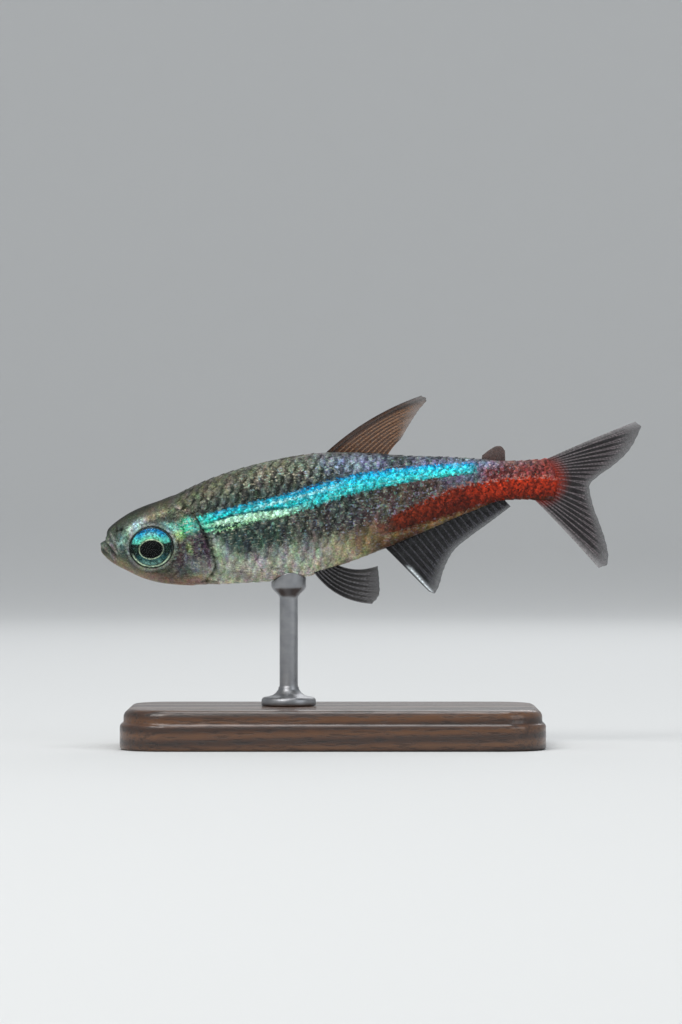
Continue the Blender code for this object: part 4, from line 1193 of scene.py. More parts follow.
def flank_places():
    """Where the flank's scales sit: whole rows from the middle, clear of head and midlines."""
    along, climb = [], []
    for row in range(-FLANK_ROWS, FLANK_ROWS + 1):
        columns = scale_columns(0.5 * (row % 2))
        tall = read_table(ROW_HEIGHT, columns)
        height = row * tall
        back = np.interp(columns, TABLE_ALONG, BACK_CLIMB)
        belly = np.interp(columns, TABLE_ALONG, BELLY_CLIMB)
        free = MIDLINE_CLEAR * tall
        inside = (height < back - free) & (height > belly + free)
        spots = body_surface(columns, around_at(columns, height))
        behind, _ = gill_distance(spots[:, 0], spots[:, 2])
        keep = inside & (behind > GILL_CLEAR) & (columns < LAST_SCALE)
        along.append(columns[keep])
        climb.append(height[keep])
    return np.concatenate(along), np.concatenate(climb)


def midline_places(stretches, edge_climb):
    """Scales astride a midline, over the given stretches of the body."""
    columns = scale_columns(0.25)
    keep = np.zeros(len(columns), bool)
    for start, stop in stretches:
        keep |= (columns > start) & (columns < stop)
    columns = columns[keep]
    return columns, np.interp(columns, TABLE_ALONG, edge_climb)


flank_along, flank_climb = flank_places()
build_scales("scales_right", flank_along, flank_climb, 1, 21)
build_scales("scales_left", flank_along, flank_climb, -1, 22)
build_scales("scales_back", *midline_places(BACK_STRETCHES, BACK_CLIMB), 1, 23, MIDLINE_LIFT)
build_scales("scales_belly", *midline_places(BELLY_STRETCHES, BELLY_CLIMB), 1, 24, MIDLINE_LIFT)

# %% [markdown]
# ## Eyes
# A glass eye is two pieces: a painted iris with a black bead of a lens in its pupil, and a clear
# dome over both. The iris is a disc of rings from the oval pupil out to the round rim, so the
# rings slowly change from an oval into a circle. Its paint is worked out ring by ring, and grains
# of crystal are scattered over it by the material.

# %% Iris and dome
PUPIL_HALF = (0.62, 0.51)  # along and up
PUPIL_SHIFT = (0.01, -0.10)  # forward and up, from the middle of the eye
IRIS_RADIUS = 1.15
PUPIL_SHARE = 0.42  # of the rings
EYE_DEPTH = 0.58
LENS_EDGE, LENS_TOP = 0.07, 0.20  # how far the lens stands out of the eye's plane
DOME_HEIGHT = 0.32
DOME_RIM, DOME_THICK = 0.025, 0.03  # wall at the rim and at the top
IRIS_SIDES = 128
DOME_RINGS, DOME_SIDES = 25, 96


def iris_paint(forward, up, ring):
    """Paint by place on the iris: a bright arc above, dark to both sides, teal and mint below."""
    radius = np.hypot(forward, up) / IRIS_RADIUS
    high = (up - 0.10 * forward - 0.04) / np.maximum(np.hypot(forward, up), 1e-6)
    out = np.clip((ring - PUPIL_SHARE) / (1 - PUPIL_SHARE), 0, 1)
    colours = np.tile(paint(10, 20, 22), (len(ring), 1))

    def lay(colour, cover):
        colours[:] += (paint(*colour) - colours) * np.clip(cover, 0, 1)[:, None]

    lay((34, 62, 50), bell(high + 0.15, 0.25) * bell(out - 0.45, 0.25))
    lay((34, 84, 86), smoothstep(-0.40, -0.75, high) * (1 - smoothstep(0.55, 0.8, out)))
    lay((104, 150, 140), bell(high + 1.0, 0.16) * bell(out - 0.52, 0.22))
    arc = smoothstep(0.15, 0.38, high)
    lay((124, 228, 186), arc * within(out, 0.06, 0.18, 0.80, 0.90))
    lay((104, 230, 214), arc * within(out, 0.20, 0.40, 0.84, 0.92))
    lay((44, 180, 228), arc * within(out, 0.34, 0.60, 0.84, 0.94) * smoothstep(0.35, 0.80, high))
    lay((168, 236, 234), 0.7 * arc * bell(out - 0.50, 0.12) * bell(high - 0.96, 0.12))
    lay((28, 84, 170), smoothstep(0.45, 0.8, high) * bell(out - 0.82, 0.07) * 0.8)
    lay((20, 22, 44), smoothstep(0.1, 0.4, high) * smoothstep(0.87, 0.94, out))
    below = smoothstep(-0.26, -0.58, high)
    lay((12, 24, 30), below * smoothstep(0.68, 0.76, out))
    lay((196, 222, 190), below * bell(radius - 0.935, 0.038))
    lay((204, 226, 188), bell(out - 0.055, 0.05) * (0.55 + 0.45 * np.abs(high)))
    lay((96, 110, 108), smoothstep(0.970, 0.99, radius))
    lay((3, 6, 7), 1 - smoothstep(PUPIL_SHARE - 0.01, PUPIL_SHARE + 0.012, ring))
    return colours


def eye_points(side, forward, up, out):
    """Places in the eye's own plane, forward, up and out, as points of the fish."""
    centre, ahead, upward, outward = eye_frame()
    local = np.stack([forward * EYE_OVAL[0], up * EYE_OVAL[1], out], axis=-1)
    points = centre + local @ np.stack([ahead, upward, outward])
    points[..., 1] *= side
    return points


def build_iris(side, look):
    """Rings from the pupil's middle to the rim, then a round back; the lens bulges forward."""
    rings = np.concatenate([np.linspace(0, PUPIL_SHARE, 15)[1:], np.linspace(PUPIL_SHARE, 1, 44)[1:]])
    ring, shift = circle(IRIS_SIDES), np.array(PUPIL_SHIFT)
    pupil = shift + ring * np.array(PUPIL_HALF)
    in_pupil = np.clip(rings / PUPIL_SHARE, 0, 1)[:, None, None]
    out = np.clip((rings - PUPIL_SHARE) / (1 - PUPIL_SHARE), 0, 1)[:, None, None]
    flat = shift * (1 - in_pupil) + pupil * in_pupil
    flat = flat * (1 - out) + ring * IRIS_RADIUS * out
    lens = LENS_EDGE + (LENS_TOP - LENS_EDGE) * np.sqrt(np.clip(1 - (in_pupil * 0.98) ** 2, 0, 1))
    iris = 0.03 + 0.10 * (1 - out) ** 0.8 + 0.02 * bell(out - 0.05, 0.05) - 0.03 * smoothstep(0.9, 1, out)
    front = at_height(flat, np.where(rings[:, None, None] < PUPIL_SHARE, lens, iris))
    fall = np.linspace(0, np.pi / 2, 12)[1:-1, None, None]
    back = at_height(ring * np.cos(fall) * IRIS_RADIUS, -EYE_DEPTH * np.sin(fall))
    local, faces = closed_tube(np.concatenate([front, back]), (*PUPIL_SHIFT, LENS_TOP),
                               (0.0, 0.0, -EYE_DEPTH), flip=side < 0)
    ring_of = np.concatenate([np.repeat(rings, IRIS_SIDES), np.ones(len(fall) * IRIS_SIDES), [0.0, 1.0]])
    numbers = {
        "paint": iris_paint(local[:, 0], local[:, 1], ring_of),
        "iris": smoothstep(PUPIL_SHARE, PUPIL_SHARE + 0.03, ring_of),
    }
    name = "right" if side > 0 else "left"
    make_piece(f"iris_{name}", to_world(eye_points(side, *local.T)), faces, (f"eye_{name}",), look,
               numbers)


def build_dome(side, look):
    """A thin clear cap over the iris: an outer and an inner shallow dome, joined at the rim."""
    share = np.linspace(0, 1, DOME_RINGS + 1)[1:, None, None] * np.pi / 2
    outer, inner = (
        at_height(circle(DOME_SIDES) * np.sin(share) * radius, np.cos(share) ** 0.9 * tall)
        for radius, tall in ((EYE_RADIUS, DOME_HEIGHT), (EYE_RADIUS - DOME_RIM, DOME_HEIGHT - DOME_THICK))
    )
    local, faces = closed_tube(np.concatenate([outer, inner[::-1]]), (0, 0, DOME_HEIGHT),
                               (0, 0, DOME_HEIGHT - DOME_THICK), flip=side < 0)
    name = "right" if side > 0 else "left"
    make_piece(f"cornea_{name}", to_world(eye_points(side, *local.T)), faces, (), look)


# %% Looks of the eyes


def iris_look():
    """Painted rings, broken into crystal grains that shine like metal."""
    bench = Bench("iris_paint", Specular_IOR_Level=0.14)
    one, two, three, _ = bench.cells(12.0)
    iris = bench.read("iris")
    colour = bench.dim(bench.read("paint", colour=True), bench.step(one, 0.0, 1.0, 0.45, 1.55))
    # A few crystal grains get a pale painted glint
    colour = bench.over(colour, paint(150, 210, 220), bench.times(bench.step(two, 0.86, 0.97), iris, 0.18))
    bench.set(Base_Color=colour, Metallic=bench.times(iris, 0.30),
              Roughness=bench.step(iris, 0.0, 1.0, 0.50, 0.36),
              Normal=bench.bump(bench.times(three, iris), 0.008))
    return bench.material


def dome_look():
    """Clear resin: nearly see-through and dark, with a strong gloss."""
    bench = Bench("clear_dome", Base_Color=(0.01, 0.015, 0.015), Roughness=0.04, IOR=1.5, Alpha=0.06)
    return bench.material


crystal_paint, clear_resin = iris_look(), dome_look()
for side in (1, -1):
    build_iris(side, crystal_paint)
    build_dome(side, clear_resin)

# %% [markdown]
# ## Fins
# A fin is a clear film stretched over bony rays. Each ray starts as one rod, is built of short
# joints, and forks once or twice on its way to the margin. The whole fin is one closed sheet here:
# a grid whose columns follow the rays and whose thickness swells over each ray and its branches.
# The share of ray at each point is kept, so the material can make rays pale and the film clear.

# %% Fin sheets
RAY_COLUMNS = 12  # for each ray and the film after it
FILM_THICK = 0.022
RAY_THICK = (0.115, 0.035)  # at the root and at the margin
RAY_HALF_WIDTH = (0.046, 0.017)
JOINT = 0.19  # length of a ray's joints in mm
MARGIN_FADE = 0.50  # of the cover, towards the margin
STREAK_HALF_WIDTH = 0.30  # in rays


def ray_lines(lobes):
    """Root and tip of every ray, lobe after lobe, and how far each is bowed."""
    roots, tips, bows = [], [], []
    for root_route, margin_route, rays, bend in lobes:
        shares = np.linspace(0, 1, rays)
        roots.append(along_route(root_route, shares))
        tips.append(along_route(margin_route, shares))
        bows.append(np.full(rays, bend))
    return np.concatenate(roots), np.concatenate(tips), np.concatenate(bows)


def ray_share(column, out, spacing, forks):
    """How much ray there is at each place, from 0 for film to 1 on a ray's middle line.

    A ray's middle line is 0 across its own strip. Beyond the first fork it becomes two lines that
    draw apart, and beyond the second four. The distance to the nearest is turned into mm.
    """
    strip = column - np.round(column)
    branching = forks * np.clip((np.minimum(column, column[-1] - column) + 0.3) / 1.5, 0, 1)
    first = 0.23 * smoothstep(0.42, 1.0, out) * branching
    second = 0.12 * smoothstep(0.68, 1.0, out) * branching
    nearest = np.min([np.abs(strip - a * first - b * second) for a in (-1, 1) for b in (-1, 1)], axis=0)
    half = RAY_HALF_WIDTH[0] + (RAY_HALF_WIDTH[1] - RAY_HALF_WIDTH[0]) * out
    return nearest * spacing / half


def fin_middle(lobes, out, flare, wave):
    """The middle of a fin's sheet, each column's place among the rays, and its way from root to tip.

    Along each ray the points run from root to tip, bowed sideways by a parabola.
    """
    roots, tips, bows = ray_lines(lobes)
    number = np.arange(len(roots))
    column = np.linspace(0, number[-1], number[-1] * RAY_COLUMNS + 1)
    start, stop = smooth_through(number, roots, column), smooth_through(number, tips, column)
    bow = smooth_through(number, bows, column)[:, None]
    strip = np.abs(column - np.round(column)) * 2
    share = (out * (0.995 - 0.008 * strip))[..., None]
    heading = stop - start
    across = np.stack([-heading[:, 2], 0 * heading[:, 0], heading[:, 0]], axis=1)
    sheet = start * (1 - share) + stop * share
    sheet = sheet + (bow * across + np.array([0.0, flare, 0.0])) * 4 * share * (1 - share)
    sheet[..., 1] += wave * share[..., 0] ** 2 * np.sin(column * 2.3 + 2.0 * share[..., 0])
    return sheet, column, heading


def build_fin(name, lobes, rows, nodes, colours, film, ray_cover, forks=1.0, flare=0.0, wave=0.0,
              root_cover=0.25, jointed=True, bright=()):
    """A fin as one closed sheet between its roots and its margin.

    The front and back of the sheet lie half the thickness to either side of its middle, along the
    sheet's own normal. Film and rays cover what lies behind by the given shares.
    """
    out = np.linspace(0, 1, rows)[:, None] ** 0.92
    sheet, column, heading = fin_middle(lobes, out, flare, wave)
    down, over = np.gradient(sheet, axis=0), np.gradient(sheet, axis=1)
    distance = ray_share(column, out, np.linalg.norm(over, axis=-1) * RAY_COLUMNS, forks)
    ridge = np.sqrt(np.clip(1 - (distance * 0.9) ** 2, 0, 1))
    thick = FILM_THICK + (RAY_THICK[0] + (RAY_THICK[1] - RAY_THICK[0]) * out - FILM_THICK) * ridge
    half = unit(np.cross(down, over)) * thick[..., None] / 2
    points = np.concatenate([sheet + half, sheet - half]).reshape(-1, 3)
    is_ray = 1 - smoothstep(0.75, 1.35, distance)
    cover = film + (ray_cover - film) * is_ray
    cover *= 1 - MARGIN_FADE * smoothstep(0.74, 1.0, out)
    cover += root_cover * (1 - smoothstep(0.0, 0.30, out))
    tint = colours(sheet.reshape(-1, 3), np.broadcast_to(out, is_ray.shape).ravel(), is_ray.ravel(),
                   np.broadcast_to(column / column[-1], is_ray.shape).ravel())
    for ray, first, last, colour in bright:
        glow = bell(column - ray, STREAK_HALF_WIDTH) * within(out, first, first + 0.12, last - 0.04, last)
        tint = painted(tint, paint(*colour), glow.ravel())
        cover = np.maximum(cover, 0.95 * glow)
    run = np.linalg.norm(heading, axis=1) * out * jointed
    numbers = {"paint": tint, "ray": is_ray.ravel(), "cover": np.clip(cover, 0, 1).ravel(),
               "run": run.ravel()}
    numbers = {label: np.concatenate([values, values]) for label, values in numbers.items()}
    make_piece(name, to_world(points), sheet_faces(*is_ray.shape), nodes, fin_paint,
               numbers)


def fin_look():
    """Smoky film and paler jointed rays. A wave along each ray parts it into its joints."""
    bench = Bench("fin_film", IOR=1.4, Specular_IOR_Level=0.3, Coat_Weight=0.06, Coat_Roughness=0.2,
                  Roughness=0.36)
    ray, run = bench.read("ray"), bench.read("run")
    one = bench.cells(12.0)[0]
    wave = bench.math("SINE", bench.times(run, 2 * math.pi / JOINT))
    joint = bench.times(bench.step(wave, 0.55, 0.95), ray)
    colour = bench.dim(bench.read("paint", colour=True), bench.step(one, 0.0, 1.0, 0.82, 1.20))
    colour = bench.dim(colour, bench.step(joint, 0.0, 1.0, 1.0, 0.50))
    alpha = bench.times(bench.read("cover"), bench.step(one, 0.0, 1.0, 0.90, 1.08))
    bench.set(Base_Color=colour, Alpha=bench.math("MINIMUM", alpha, 1.0),
              Normal=bench.bump(bench.plus(bench.times(joint, -1.0), bench.times(one, 0.3)), 0.008))
    return bench.material


fin_paint = fin_look()

# %% Fin colours
DARK_RAY = paint(22, 16, 16)
STEM_RED = paint(148, 42, 22)
TAIL_EDGE = paint(176, 172, 174)
STREAK = (240, 250, 255)  # of the anal fin's leading ray


def dorsal_tint(points, out, ray, across):
    """Brown smoke with pale rays; the two leading rays are dark."""
    colours = painted(paint(84, 52, 32), paint(136, 104, 80), ray)
    lead = (1 - smoothstep(0.10, 0.20, across)) * (0.4 + 0.6 * ray)
    return painted(colours, DARK_RAY, lead)


def anal_tint(points, out, ray, across):
    """Dark smoke with grey rays, darker along the root."""
    colours = painted(paint(18, 17, 20), paint(68, 68, 74), ray)
    return colours * (0.75 + 0.25 * out)[:, None]


def tail_tint(points, out, ray, across):
    """Violet-grey smoke, with the red of the tail stem running out along the first third."""
    colours = painted(paint(30, 26, 28), paint(106, 99, 102), ray)
    from_root = np.hypot(points[:, 0] - 24.2, (points[:, 2] - 0.1) * 1.1)
    red = 1 - smoothstep(0.85, 1.9, from_root)
    colours = painted(colours, STEM_RED, 0.95 * red)
    edge = bell(across, 0.03) + bell(across - 1.0, 0.03)
    return painted(colours, TAIL_EDGE, 0.6 * edge * (1 - red))


def clear_tint(points, out, ray, across):
    """Faint grey film and whitish rays."""
    return painted(paint(16, 16, 18), paint(86, 85, 88), ray)


def faint_tint(points, out, ray, across):
    """Nearly clear film and pale rays."""
    return painted(paint(70, 72, 70), paint(160, 160, 154), ray)


# %% Fins in the middle plane


def flat(places):
    """Side-view places on the fish's middle plane, from front to rear."""
    return [(along, 0.0, height) for along, height in places]


# Each lobe: route of the roots, route of the margin, number of rays, and their bow
DORSAL = (flat(((12.15, 2.70), (14.0, 2.50), (15.9, 2.15))),
          flat(((18.55, 5.60), (18.82, 5.42), (18.30, 4.84), (17.70, 4.17), (17.05, 3.38))), 12, 0.06)
ANAL = (flat(((15.05, -1.92), (17.3, -1.30), (19.8, -0.62), (21.9, -0.25))),
        flat(((17.42, -5.10), (17.66, -5.26), (17.92, -5.00), (18.35, -4.10), (19.05, -3.10),
              (20.10, -2.42), (21.20, -1.84), (22.50, -1.12))), 20, 0.0)
TAIL_UPPER = (flat(((23.70, 0.85), (24.30, 0.75), (24.60, 0.45), (24.70, 0.16))),
              flat(((29.95, 2.52), (30.20, 2.34), (29.91, 1.67), (29.40, 1.03), (28.44, 0.33),
                    (27.50, -0.15), (27.00, -0.50))), 11, 0.01)
TAIL_LOWER = (flat(((24.70, -0.14), (24.60, -0.40), (24.20, -0.62), (23.55, -0.55))),
              flat(((26.92, -0.86), (26.98, -1.70), (27.17, -2.60), (27.38, -3.70), (27.39, -4.70),
                    (27.20, -5.14), (26.80, -5.16))), 10, 0.01)

build_fin("dorsal_sheet", [DORSAL], 84, ("dorsal_fin",), dorsal_tint, film=0.78, ray_cover=0.85, wave=0.03)
build_fin("anal_sheet", [ANAL], 64, ("anal_fin",), anal_tint, film=0.86, ray_cover=0.92, wave=0.03,
          bright=((0.7, 0.46, 1.0, STREAK),))
build_fin("tail_sheet", [TAIL_UPPER, TAIL_LOWER], 74, ("tail_fin_upper", "tail_fin_lower"), tail_tint,
          film=0.84, ray_cover=0.92, wave=0.04, root_cover=0.6)

# %% Paired fins
for side, label in ((1, "right"), (-1, "left")):
    pelvic = ([(11.15, side * 0.50, -2.75), (11.6, side * 0.40, -2.62), (12.1, side * 0.30, -2.50)],
              [(14.25, side * 1.35, -5.28), (14.66, side * 1.15, -4.93), (14.82, side * 0.85, -4.10),
               (14.85, side * 0.58, -3.30)], 8, -0.13)
    build_fin(f"pelvic_sheet_{label}", [pelvic], 60, (f"pelvic_fin_{label}",), clear_tint, film=0.82,
              ray_cover=0.9)
    pectoral = ([(6.45, side * 1.00, -1.80), (6.40, side * 0.95, -2.12), (6.30, side * 0.80, -2.45)],
                [(9.50, side * 2.60, -2.45), (9.65, side * 2.42, -2.70), (9.25, side * 2.15, -3.00),
                 (8.60, side * 1.90, -3.20)], 8, 0.0)
    build_fin(f"pectoral_sheet_{label}", [pectoral], 54, (f"pectoral_fin_{label}",), faint_tint, film=0.03,
              ray_cover=0.24, forks=0.0, flare=side * 0.30, jointed=False)

# %% Adipose fin
ADIPOSE_ROOT = flat(((21.15, 1.25), (21.9, 1.05), (22.5, 0.90)))
ADIPOSE_RIM = flat(((21.35, 1.88), (21.80, 2.13), (22.20, 2.27), (22.45, 2.22), (22.62, 1.95)))
ADIPOSE_ROWS, ADIPOSE_COLUMNS = 24, 40


def adipose_sheet():
    """A small fleshy lobe: a blade that is thick at its root and thins towards its rim."""
    shares = np.linspace(0, 1, ADIPOSE_COLUMNS)
    out = np.linspace(0, 1, ADIPOSE_ROWS)[:, None, None]
    sheet = along_route(ADIPOSE_ROOT, shares) * (1 - out) + along_route(ADIPOSE_RIM, shares) * out
    edge = np.sin(np.linspace(0.06, np.pi - 0.06, ADIPOSE_COLUMNS)) ** 0.5
    half = np.zeros_like(sheet)
    half[..., 1] = (0.20 * (1 - out[..., 0]) ** 0.7 + 0.03) * edge / 2
    points = np.concatenate([sheet - half, sheet + half]).reshape(-1, 3)
    far = np.tile(np.repeat(out.ravel(), ADIPOSE_COLUMNS), 2)
    numbers = {"paint": painted(paint(60, 42, 40), paint(88, 70, 66), far), "ray": np.zeros(len(far)),
               "cover": 0.92 - 0.20 * far, "run": np.zeros(len(far))}
    make_piece("adipose_sheet", to_world(points), sheet_faces(ADIPOSE_ROWS, ADIPOSE_COLUMNS),
               ("adipose_fin",), fin_paint, numbers)


adipose_sheet()

# %% [markdown]
# ## The stand
# The base is a slab of dark, varnished hardwood with rounded corners and a small moulding, and the
# rod is turned from steel, with a flange below and a cup that fits the belly above. The slab is an
# outline drawn inwards step by step. The rod is a profile turned round its axis, whose topmost
# points are lowered or raised until they lie on the belly.

# %% Base
base_low, base_high = (np.array(corner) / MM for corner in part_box("stand_base"))
base_middle = ((base_low + base_high) / 2)[:2]
CORNER_RADIUS = 2.6
SLAB_SIDES = 48
# How far the outline is drawn in, and at what height
BASE_PROFILE = ((6.0, 0.0), (0.30, 0.0), (0.08, 0.04), (0.0, 0.14), (0.0, 0.40), (0.0, 0.80), (0.0, 1.20),
                (0.02, 1.32), (0.08, 1.40), (0.17, 1.44), (0.20, 1.50), (0.20, 1.72), (0.22, 1.88),
                (0.29, 2.02), (0.40, 2.12), (0.54, 2.18), (0.72, 2.20), (1.6, 2.20), (3.0, 2.20),
                (4.6, 2.20), (6.0, 2.20))


def slab_outline(inset):
    """A rectangle with round corners, drawn inwards by the inset, as one ring of points."""
    half = (base_high - base_low)[:2] / 2 - inset
    radius = max(CORNER_RADIUS - inset, 0.12)
    turn = np.linspace(0, np.pi / 2, SLAB_SIDES // 4)
    ring = []
    for corner, (sx, sy) in enumerate(((1, 1), (-1, 1), (-1, -1), (1, -1))):
        middle = np.array([sx * (half[0] - radius), sy * (half[1] - radius)])
        angle = turn + corner * np.pi / 2
        ring.append(middle + radius * np.stack([np.cos(angle), np.sin(angle)], axis=-1))
    return np.concatenate(ring) + base_middle


def build_base(look):
    """The slab's outlines one over the other, from the middle of its foot to the middle of its top."""
    rings = np.stack([at_height(slab_outline(inset), height) for inset, height in BASE_PROFILE])
    top = BASE_PROFILE[-1][1]
    points, faces = closed_tube(rings, (*base_middle, 0.0), (*base_middle, top), flip=True)
    make_piece("base_slab", points * MM, faces, ("stand_base",), look)


def wood_look():
    """Dark hardwood: year rings round a heart far below the slab, fine pores, and varnish."""
    bench = Bench("dark_wood", Coat_Weight=0.5, Coat_Roughness=0.12)
    here = bench.add("TexCoord", {}).outputs["Object"]
    sockets = {"Vector": here, "Location": (0.0, 5.0, 21.0), "Rotation": (0.0, 0.05, 0.08),
               "Scale": (0.35 / MM, 1 / MM, 1 / MM)}
    heart = bench.add("Mapping", sockets).outputs[0]
    sockets = {"Vector": heart, "Scale": 0.42, "Distortion": 3.2, "Detail": 3.0, "Detail Scale": 0.35}
    rings = bench.add("TexWave", sockets, wave_type="RINGS", rings_direction="X").outputs["Fac"]
    long = bench.add("Mapping", {"Vector": here, "Scale": (0.5 / MM, 4.0 / MM, 4.0 / MM)}).outputs[0]
    pores = bench.noise(1.6, 5.0, 0.65, long)
    tone = bench.plus(bench.times(rings, 0.45), bench.times(pores, 0.7))
    colour = bench.ramp(tone, ((0.20, paint(34, 20, 13)), (0.45, paint(58, 35, 22)),
                               (0.65, paint(80, 51, 32)), (0.90, paint(100, 67, 42))))
    fine = bench.step(pores, 0.40, 0.50)
    colour = bench.dim(colour, bench.step(fine, 0.0, 1.0, 0.70, 1.05))
    bench.set(Base_Color=colour, Roughness=bench.step(tone, 0.2, 0.9, 0.48, 0.34),
              Normal=bench.bump(bench.plus(fine, bench.times(tone, 0.3)), 0.010))
    return bench.material


build_base(wood_look())

# %% Rod
ROD_RADIUS = 0.50
SADDLE_RADIUS = 0.95
ROD_SIDES = 96
# Radius and height, from the foot up to the shaft
ROD_PROFILE_LOW = ((1.35, 2.20), (1.47, 2.24), (1.5, 2.34), (1.48, 2.56), (1.40, 2.66), (1.26, 2.70),
                   (1.10, 2.72), (0.86, 2.80), (0.70, 2.92), (0.60, 3.06), (0.56, 3.12), (0.56, 3.20),
                   (0.51, 3.26), (0.50, 3.34))
# Radius and depth under the belly, from the cup's wall to the middle of its hollow
CUP_PROFILE = ((SADDLE_RADIUS, 0.10), (SADDLE_RADIUS, 0.05), (SADDLE_RADIUS - 0.02, 0.02),
               (SADDLE_RADIUS - 0.06, 0.0), (0.7, 0.0), (0.45, 0.0), (0.2, 0.0))


def belly_height(x, y):
    """World height of the belly over points of the floor, all in mm.

    A section gives the height from the side distance. The tilt moves the section's place along
    the body with that height, so the place is worked out three times, each closer.
    """
    along = np.full(np.shape(x), ROD_ALONG)
    for _ in range(3):
        back, belly, half = body_section(along)
        widest = back - WIDEST_FROM_BACK * (back - belly)
        out = np.clip(np.abs(y) / half, 0, 1) ** (1 / BELLY_FULLNESS)
        height = widest - (widest - belly) * np.sqrt(1 - out**2)
        along = (x - snout_x + height * math.sin(NOSE_DOWN)) / math.cos(NOSE_DOWN)
    return SNOUT_HEIGHT + along * math.sin(NOSE_DOWN) + height * math.cos(NOSE_DOWN)


def build_rod(look):
    """The turned profile up to the cup; the cup's rim and hollow follow the belly."""
    contact = belly_height(np.array([rod_x]), np.array([0.0]))[0]
    neck = contact - 1.0
    shaft = [(ROD_RADIUS, height) for height in np.linspace(3.6, neck - 0.15, 12)]
    flare = [(ROD_RADIUS + (SADDLE_RADIUS - ROD_RADIUS) * smoothstep(0, 1, t), neck + 0.62 * t)
             for t in np.linspace(0, 1, 9)]
    ring, middle = circle(ROD_SIDES), np.array([rod_x, 0.0])
    rings = [at_height(ring * radius + middle, height)
             for radius, height in (*ROD_PROFILE_LOW, *shaft, *flare)]
    for radius, drop in CUP_PROFILE:
        place = ring * radius + middle
        rings.append(at_height(place, belly_height(*place.T)[:, None] - drop))
    points, faces = closed_tube(np.stack(rings), (rod_x, 0.0, ROD_PROFILE_LOW[0][1]), (rod_x, 0.0, contact),
                                flip=True)
    make_piece("turned_rod", points * MM, faces, ("stand_rod",), look)


def steel_look():
    """Turned steel: fine rings round the rod left by the tool, and a few faint blotches."""
    bench = Bench("turned_steel", Metallic=1.0, IOR=1.5)
    here = bench.add("TexCoord", {}).outputs["Object"]
    flat_rings = bench.add("Mapping", {"Vector": here, "Scale": (0.3 / MM, 0.3 / MM, 30.0 / MM)}).outputs[0]
    lines = bench.noise(1.0, 3.0, 0.6, flat_rings)
    blotch = bench.noise(1.4, 2.0)
    colour = bench.ramp(blotch, ((0.3, paint(138, 140, 144)), (0.7, paint(162, 163, 166))))
    rough = bench.plus(bench.times(lines, 0.16), bench.step(blotch, 0.3, 0.7, 0.30, 0.38))
    bench.set(Base_Color=colour, Roughness=rough, Normal=bench.bump(lines, 0.004))
    return bench.material


build_rod(steel_look())

# %% [markdown]
# ## Studio and camera
# The model stands in a wide shallow bowl of pale card, so that no horizon shows from any side. Big
# soft lamps stand in front, overhead and behind. The camera looks straight at the left flank from
# 25 cm away, and its long lens shows the fish as large as the photograph does.

# %% Studio
BOWL_FLAT = 280.0
BOWL_CURVE = 520.0
BOWL_HEIGHT = 700.0
BOWL_SIDES = 128
BOWL_STEPS = 40  # in its curve


def build_bowl():
    """A flat disc that curves up into a wall all round: a profile turned about the origin."""
    slope = np.pi / 2 * smoothstep(0, 1, np.linspace(0, 1, BOWL_STEPS))
    step = BOWL_CURVE / BOWL_STEPS
    flat_part = np.linspace(0, BOWL_FLAT, 12)[1:]
    radius = np.concatenate([flat_part, BOWL_FLAT + step * np.cumsum(np.cos(slope))])
    height = np.concatenate([0 * flat_part, step * np.cumsum(np.sin(slope))])
    radius, height = np.append(radius, radius[-1]), np.append(height, BOWL_HEIGHT)
    points = at_height(radius[:, None, None] * circle(BOWL_SIDES), height[:, None, None]).reshape(-1, 3)
    parts = (grid_quads(len(radius), BOWL_SIDES, wrap=True), fan(np.arange(BOWL_SIDES), len(points)))
    faces = [face for part in parts for face in part.tolist()]
    mesh = bpy.data.meshes.new("studio_floor")
    mesh.from_pydata(np.vstack([points, np.zeros(3)]) * MM, [], faces)
    mesh.shade_smooth()
    floor = bpy.data.objects.new("studio_floor", mesh)
    bpy.context.scene.collection.objects.link(floor)
    card = Bench("pale_card", Base_Color=paint(206, 208, 209), Roughness=0.95, Specular_IOR_Level=0.0)
    mesh.materials.append(card.material)


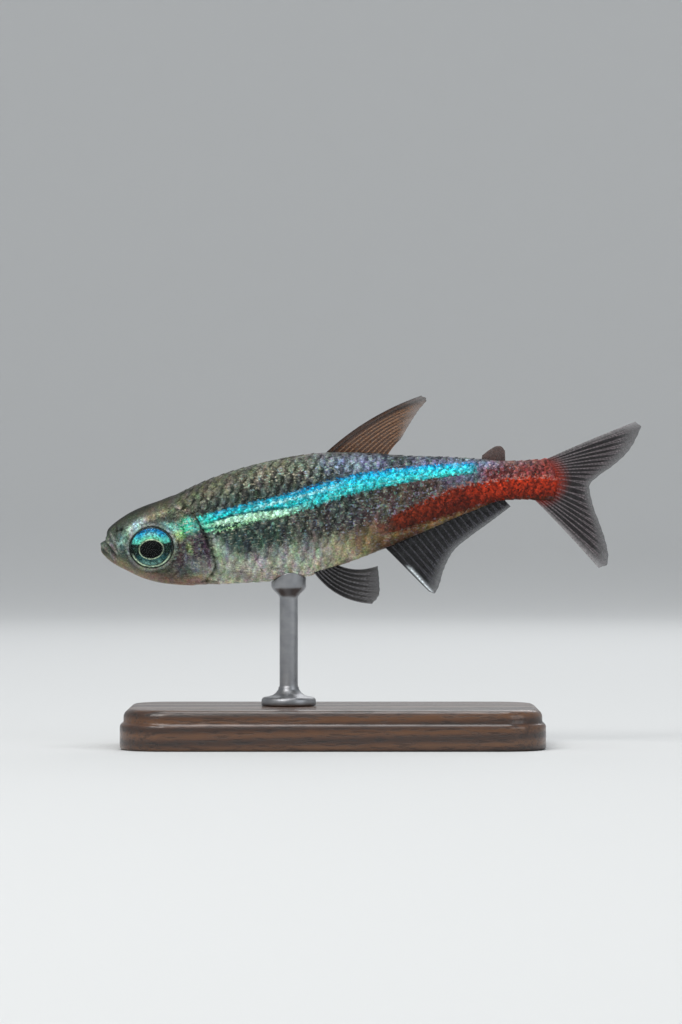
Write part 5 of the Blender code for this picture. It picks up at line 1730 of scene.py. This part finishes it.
def softbox(name, place, size, power, colour=(1.0, 1.0, 1.0)):
    """A square lamp in mm that faces the fish."""
    lamp = bpy.data.lights.new(name, "AREA")
    lamp.shape = "SQUARE"
    lamp.size = size * MM
    lamp.energy = power
    lamp.color = colour
    made = bpy.data.objects.new(name, lamp)
    bpy.context.scene.collection.objects.link(made)
    made.location = np.array(place) * MM
    aim = Vector((0.0, 0.0, 12.0)) - Vector(place)
    made.rotation_euler = aim.to_track_quat("-Z", "Y").to_euler()


build_bowl()
softbox("key", (-130, -190, 270), 180, 0.72, (1.0, 0.98, 0.95))
softbox("fill", (240, -190, 150), 200, 0.20, (0.95, 0.98, 1.0))
sky = bpy.data.lights.new("sky", "POINT")
sky.energy = 3.4
sky.shadow_soft_size = 130 * MM
sky_lamp = bpy.data.objects.new("sky", sky)
sky_lamp.location = np.array((20, 20, 470)) * MM
bpy.context.scene.collection.objects.link(sky_lamp)
softbox("rear", (60, 230, 200), 180, 0.22)

world = bpy.data.worlds.new("studio_air")
bpy.context.scene.world = world
world.use_nodes = True
world.node_tree.nodes["Background"].inputs["Color"].default_value = (0.92, 0.95, 1.0, 1.0)
world.node_tree.nodes["Background"].inputs["Strength"].default_value = 0.22
bpy.context.scene.view_settings.view_transform = "Standard"

# %% Camera
PICTURE = (682, 1024)
PIXELS_PER_MM = 18.27
CAMERA_AWAY = 250.0
SNOUT_PIXEL = (101.0, 545.0)
SENSOR = 36.0

centre_x = snout_x + (PICTURE[0] / 2 - SNOUT_PIXEL[0]) / PIXELS_PER_MM
centre_z = SNOUT_HEIGHT - (PICTURE[1] / 2 - SNOUT_PIXEL[1]) / PIXELS_PER_MM
lens = bpy.data.cameras.new("camera")
lens.sensor_width = SENSOR
lens.lens = SENSOR * CAMERA_AWAY * PIXELS_PER_MM / PICTURE[1]
lens.clip_start = 0.01
lens.clip_end = 5.0
camera = bpy.data.objects.new("camera", lens)
bpy.context.scene.collection.objects.link(camera)
camera.location = (centre_x * MM, -CAMERA_AWAY * MM, centre_z * MM)
camera.rotation_euler = (math.radians(90), 0.0, 0.0)
bpy.context.scene.camera = camera
print(f"camera aims at x {centre_x:.2f}, z {centre_z:.2f} mm with a {lens.lens:.0f} mm lens")
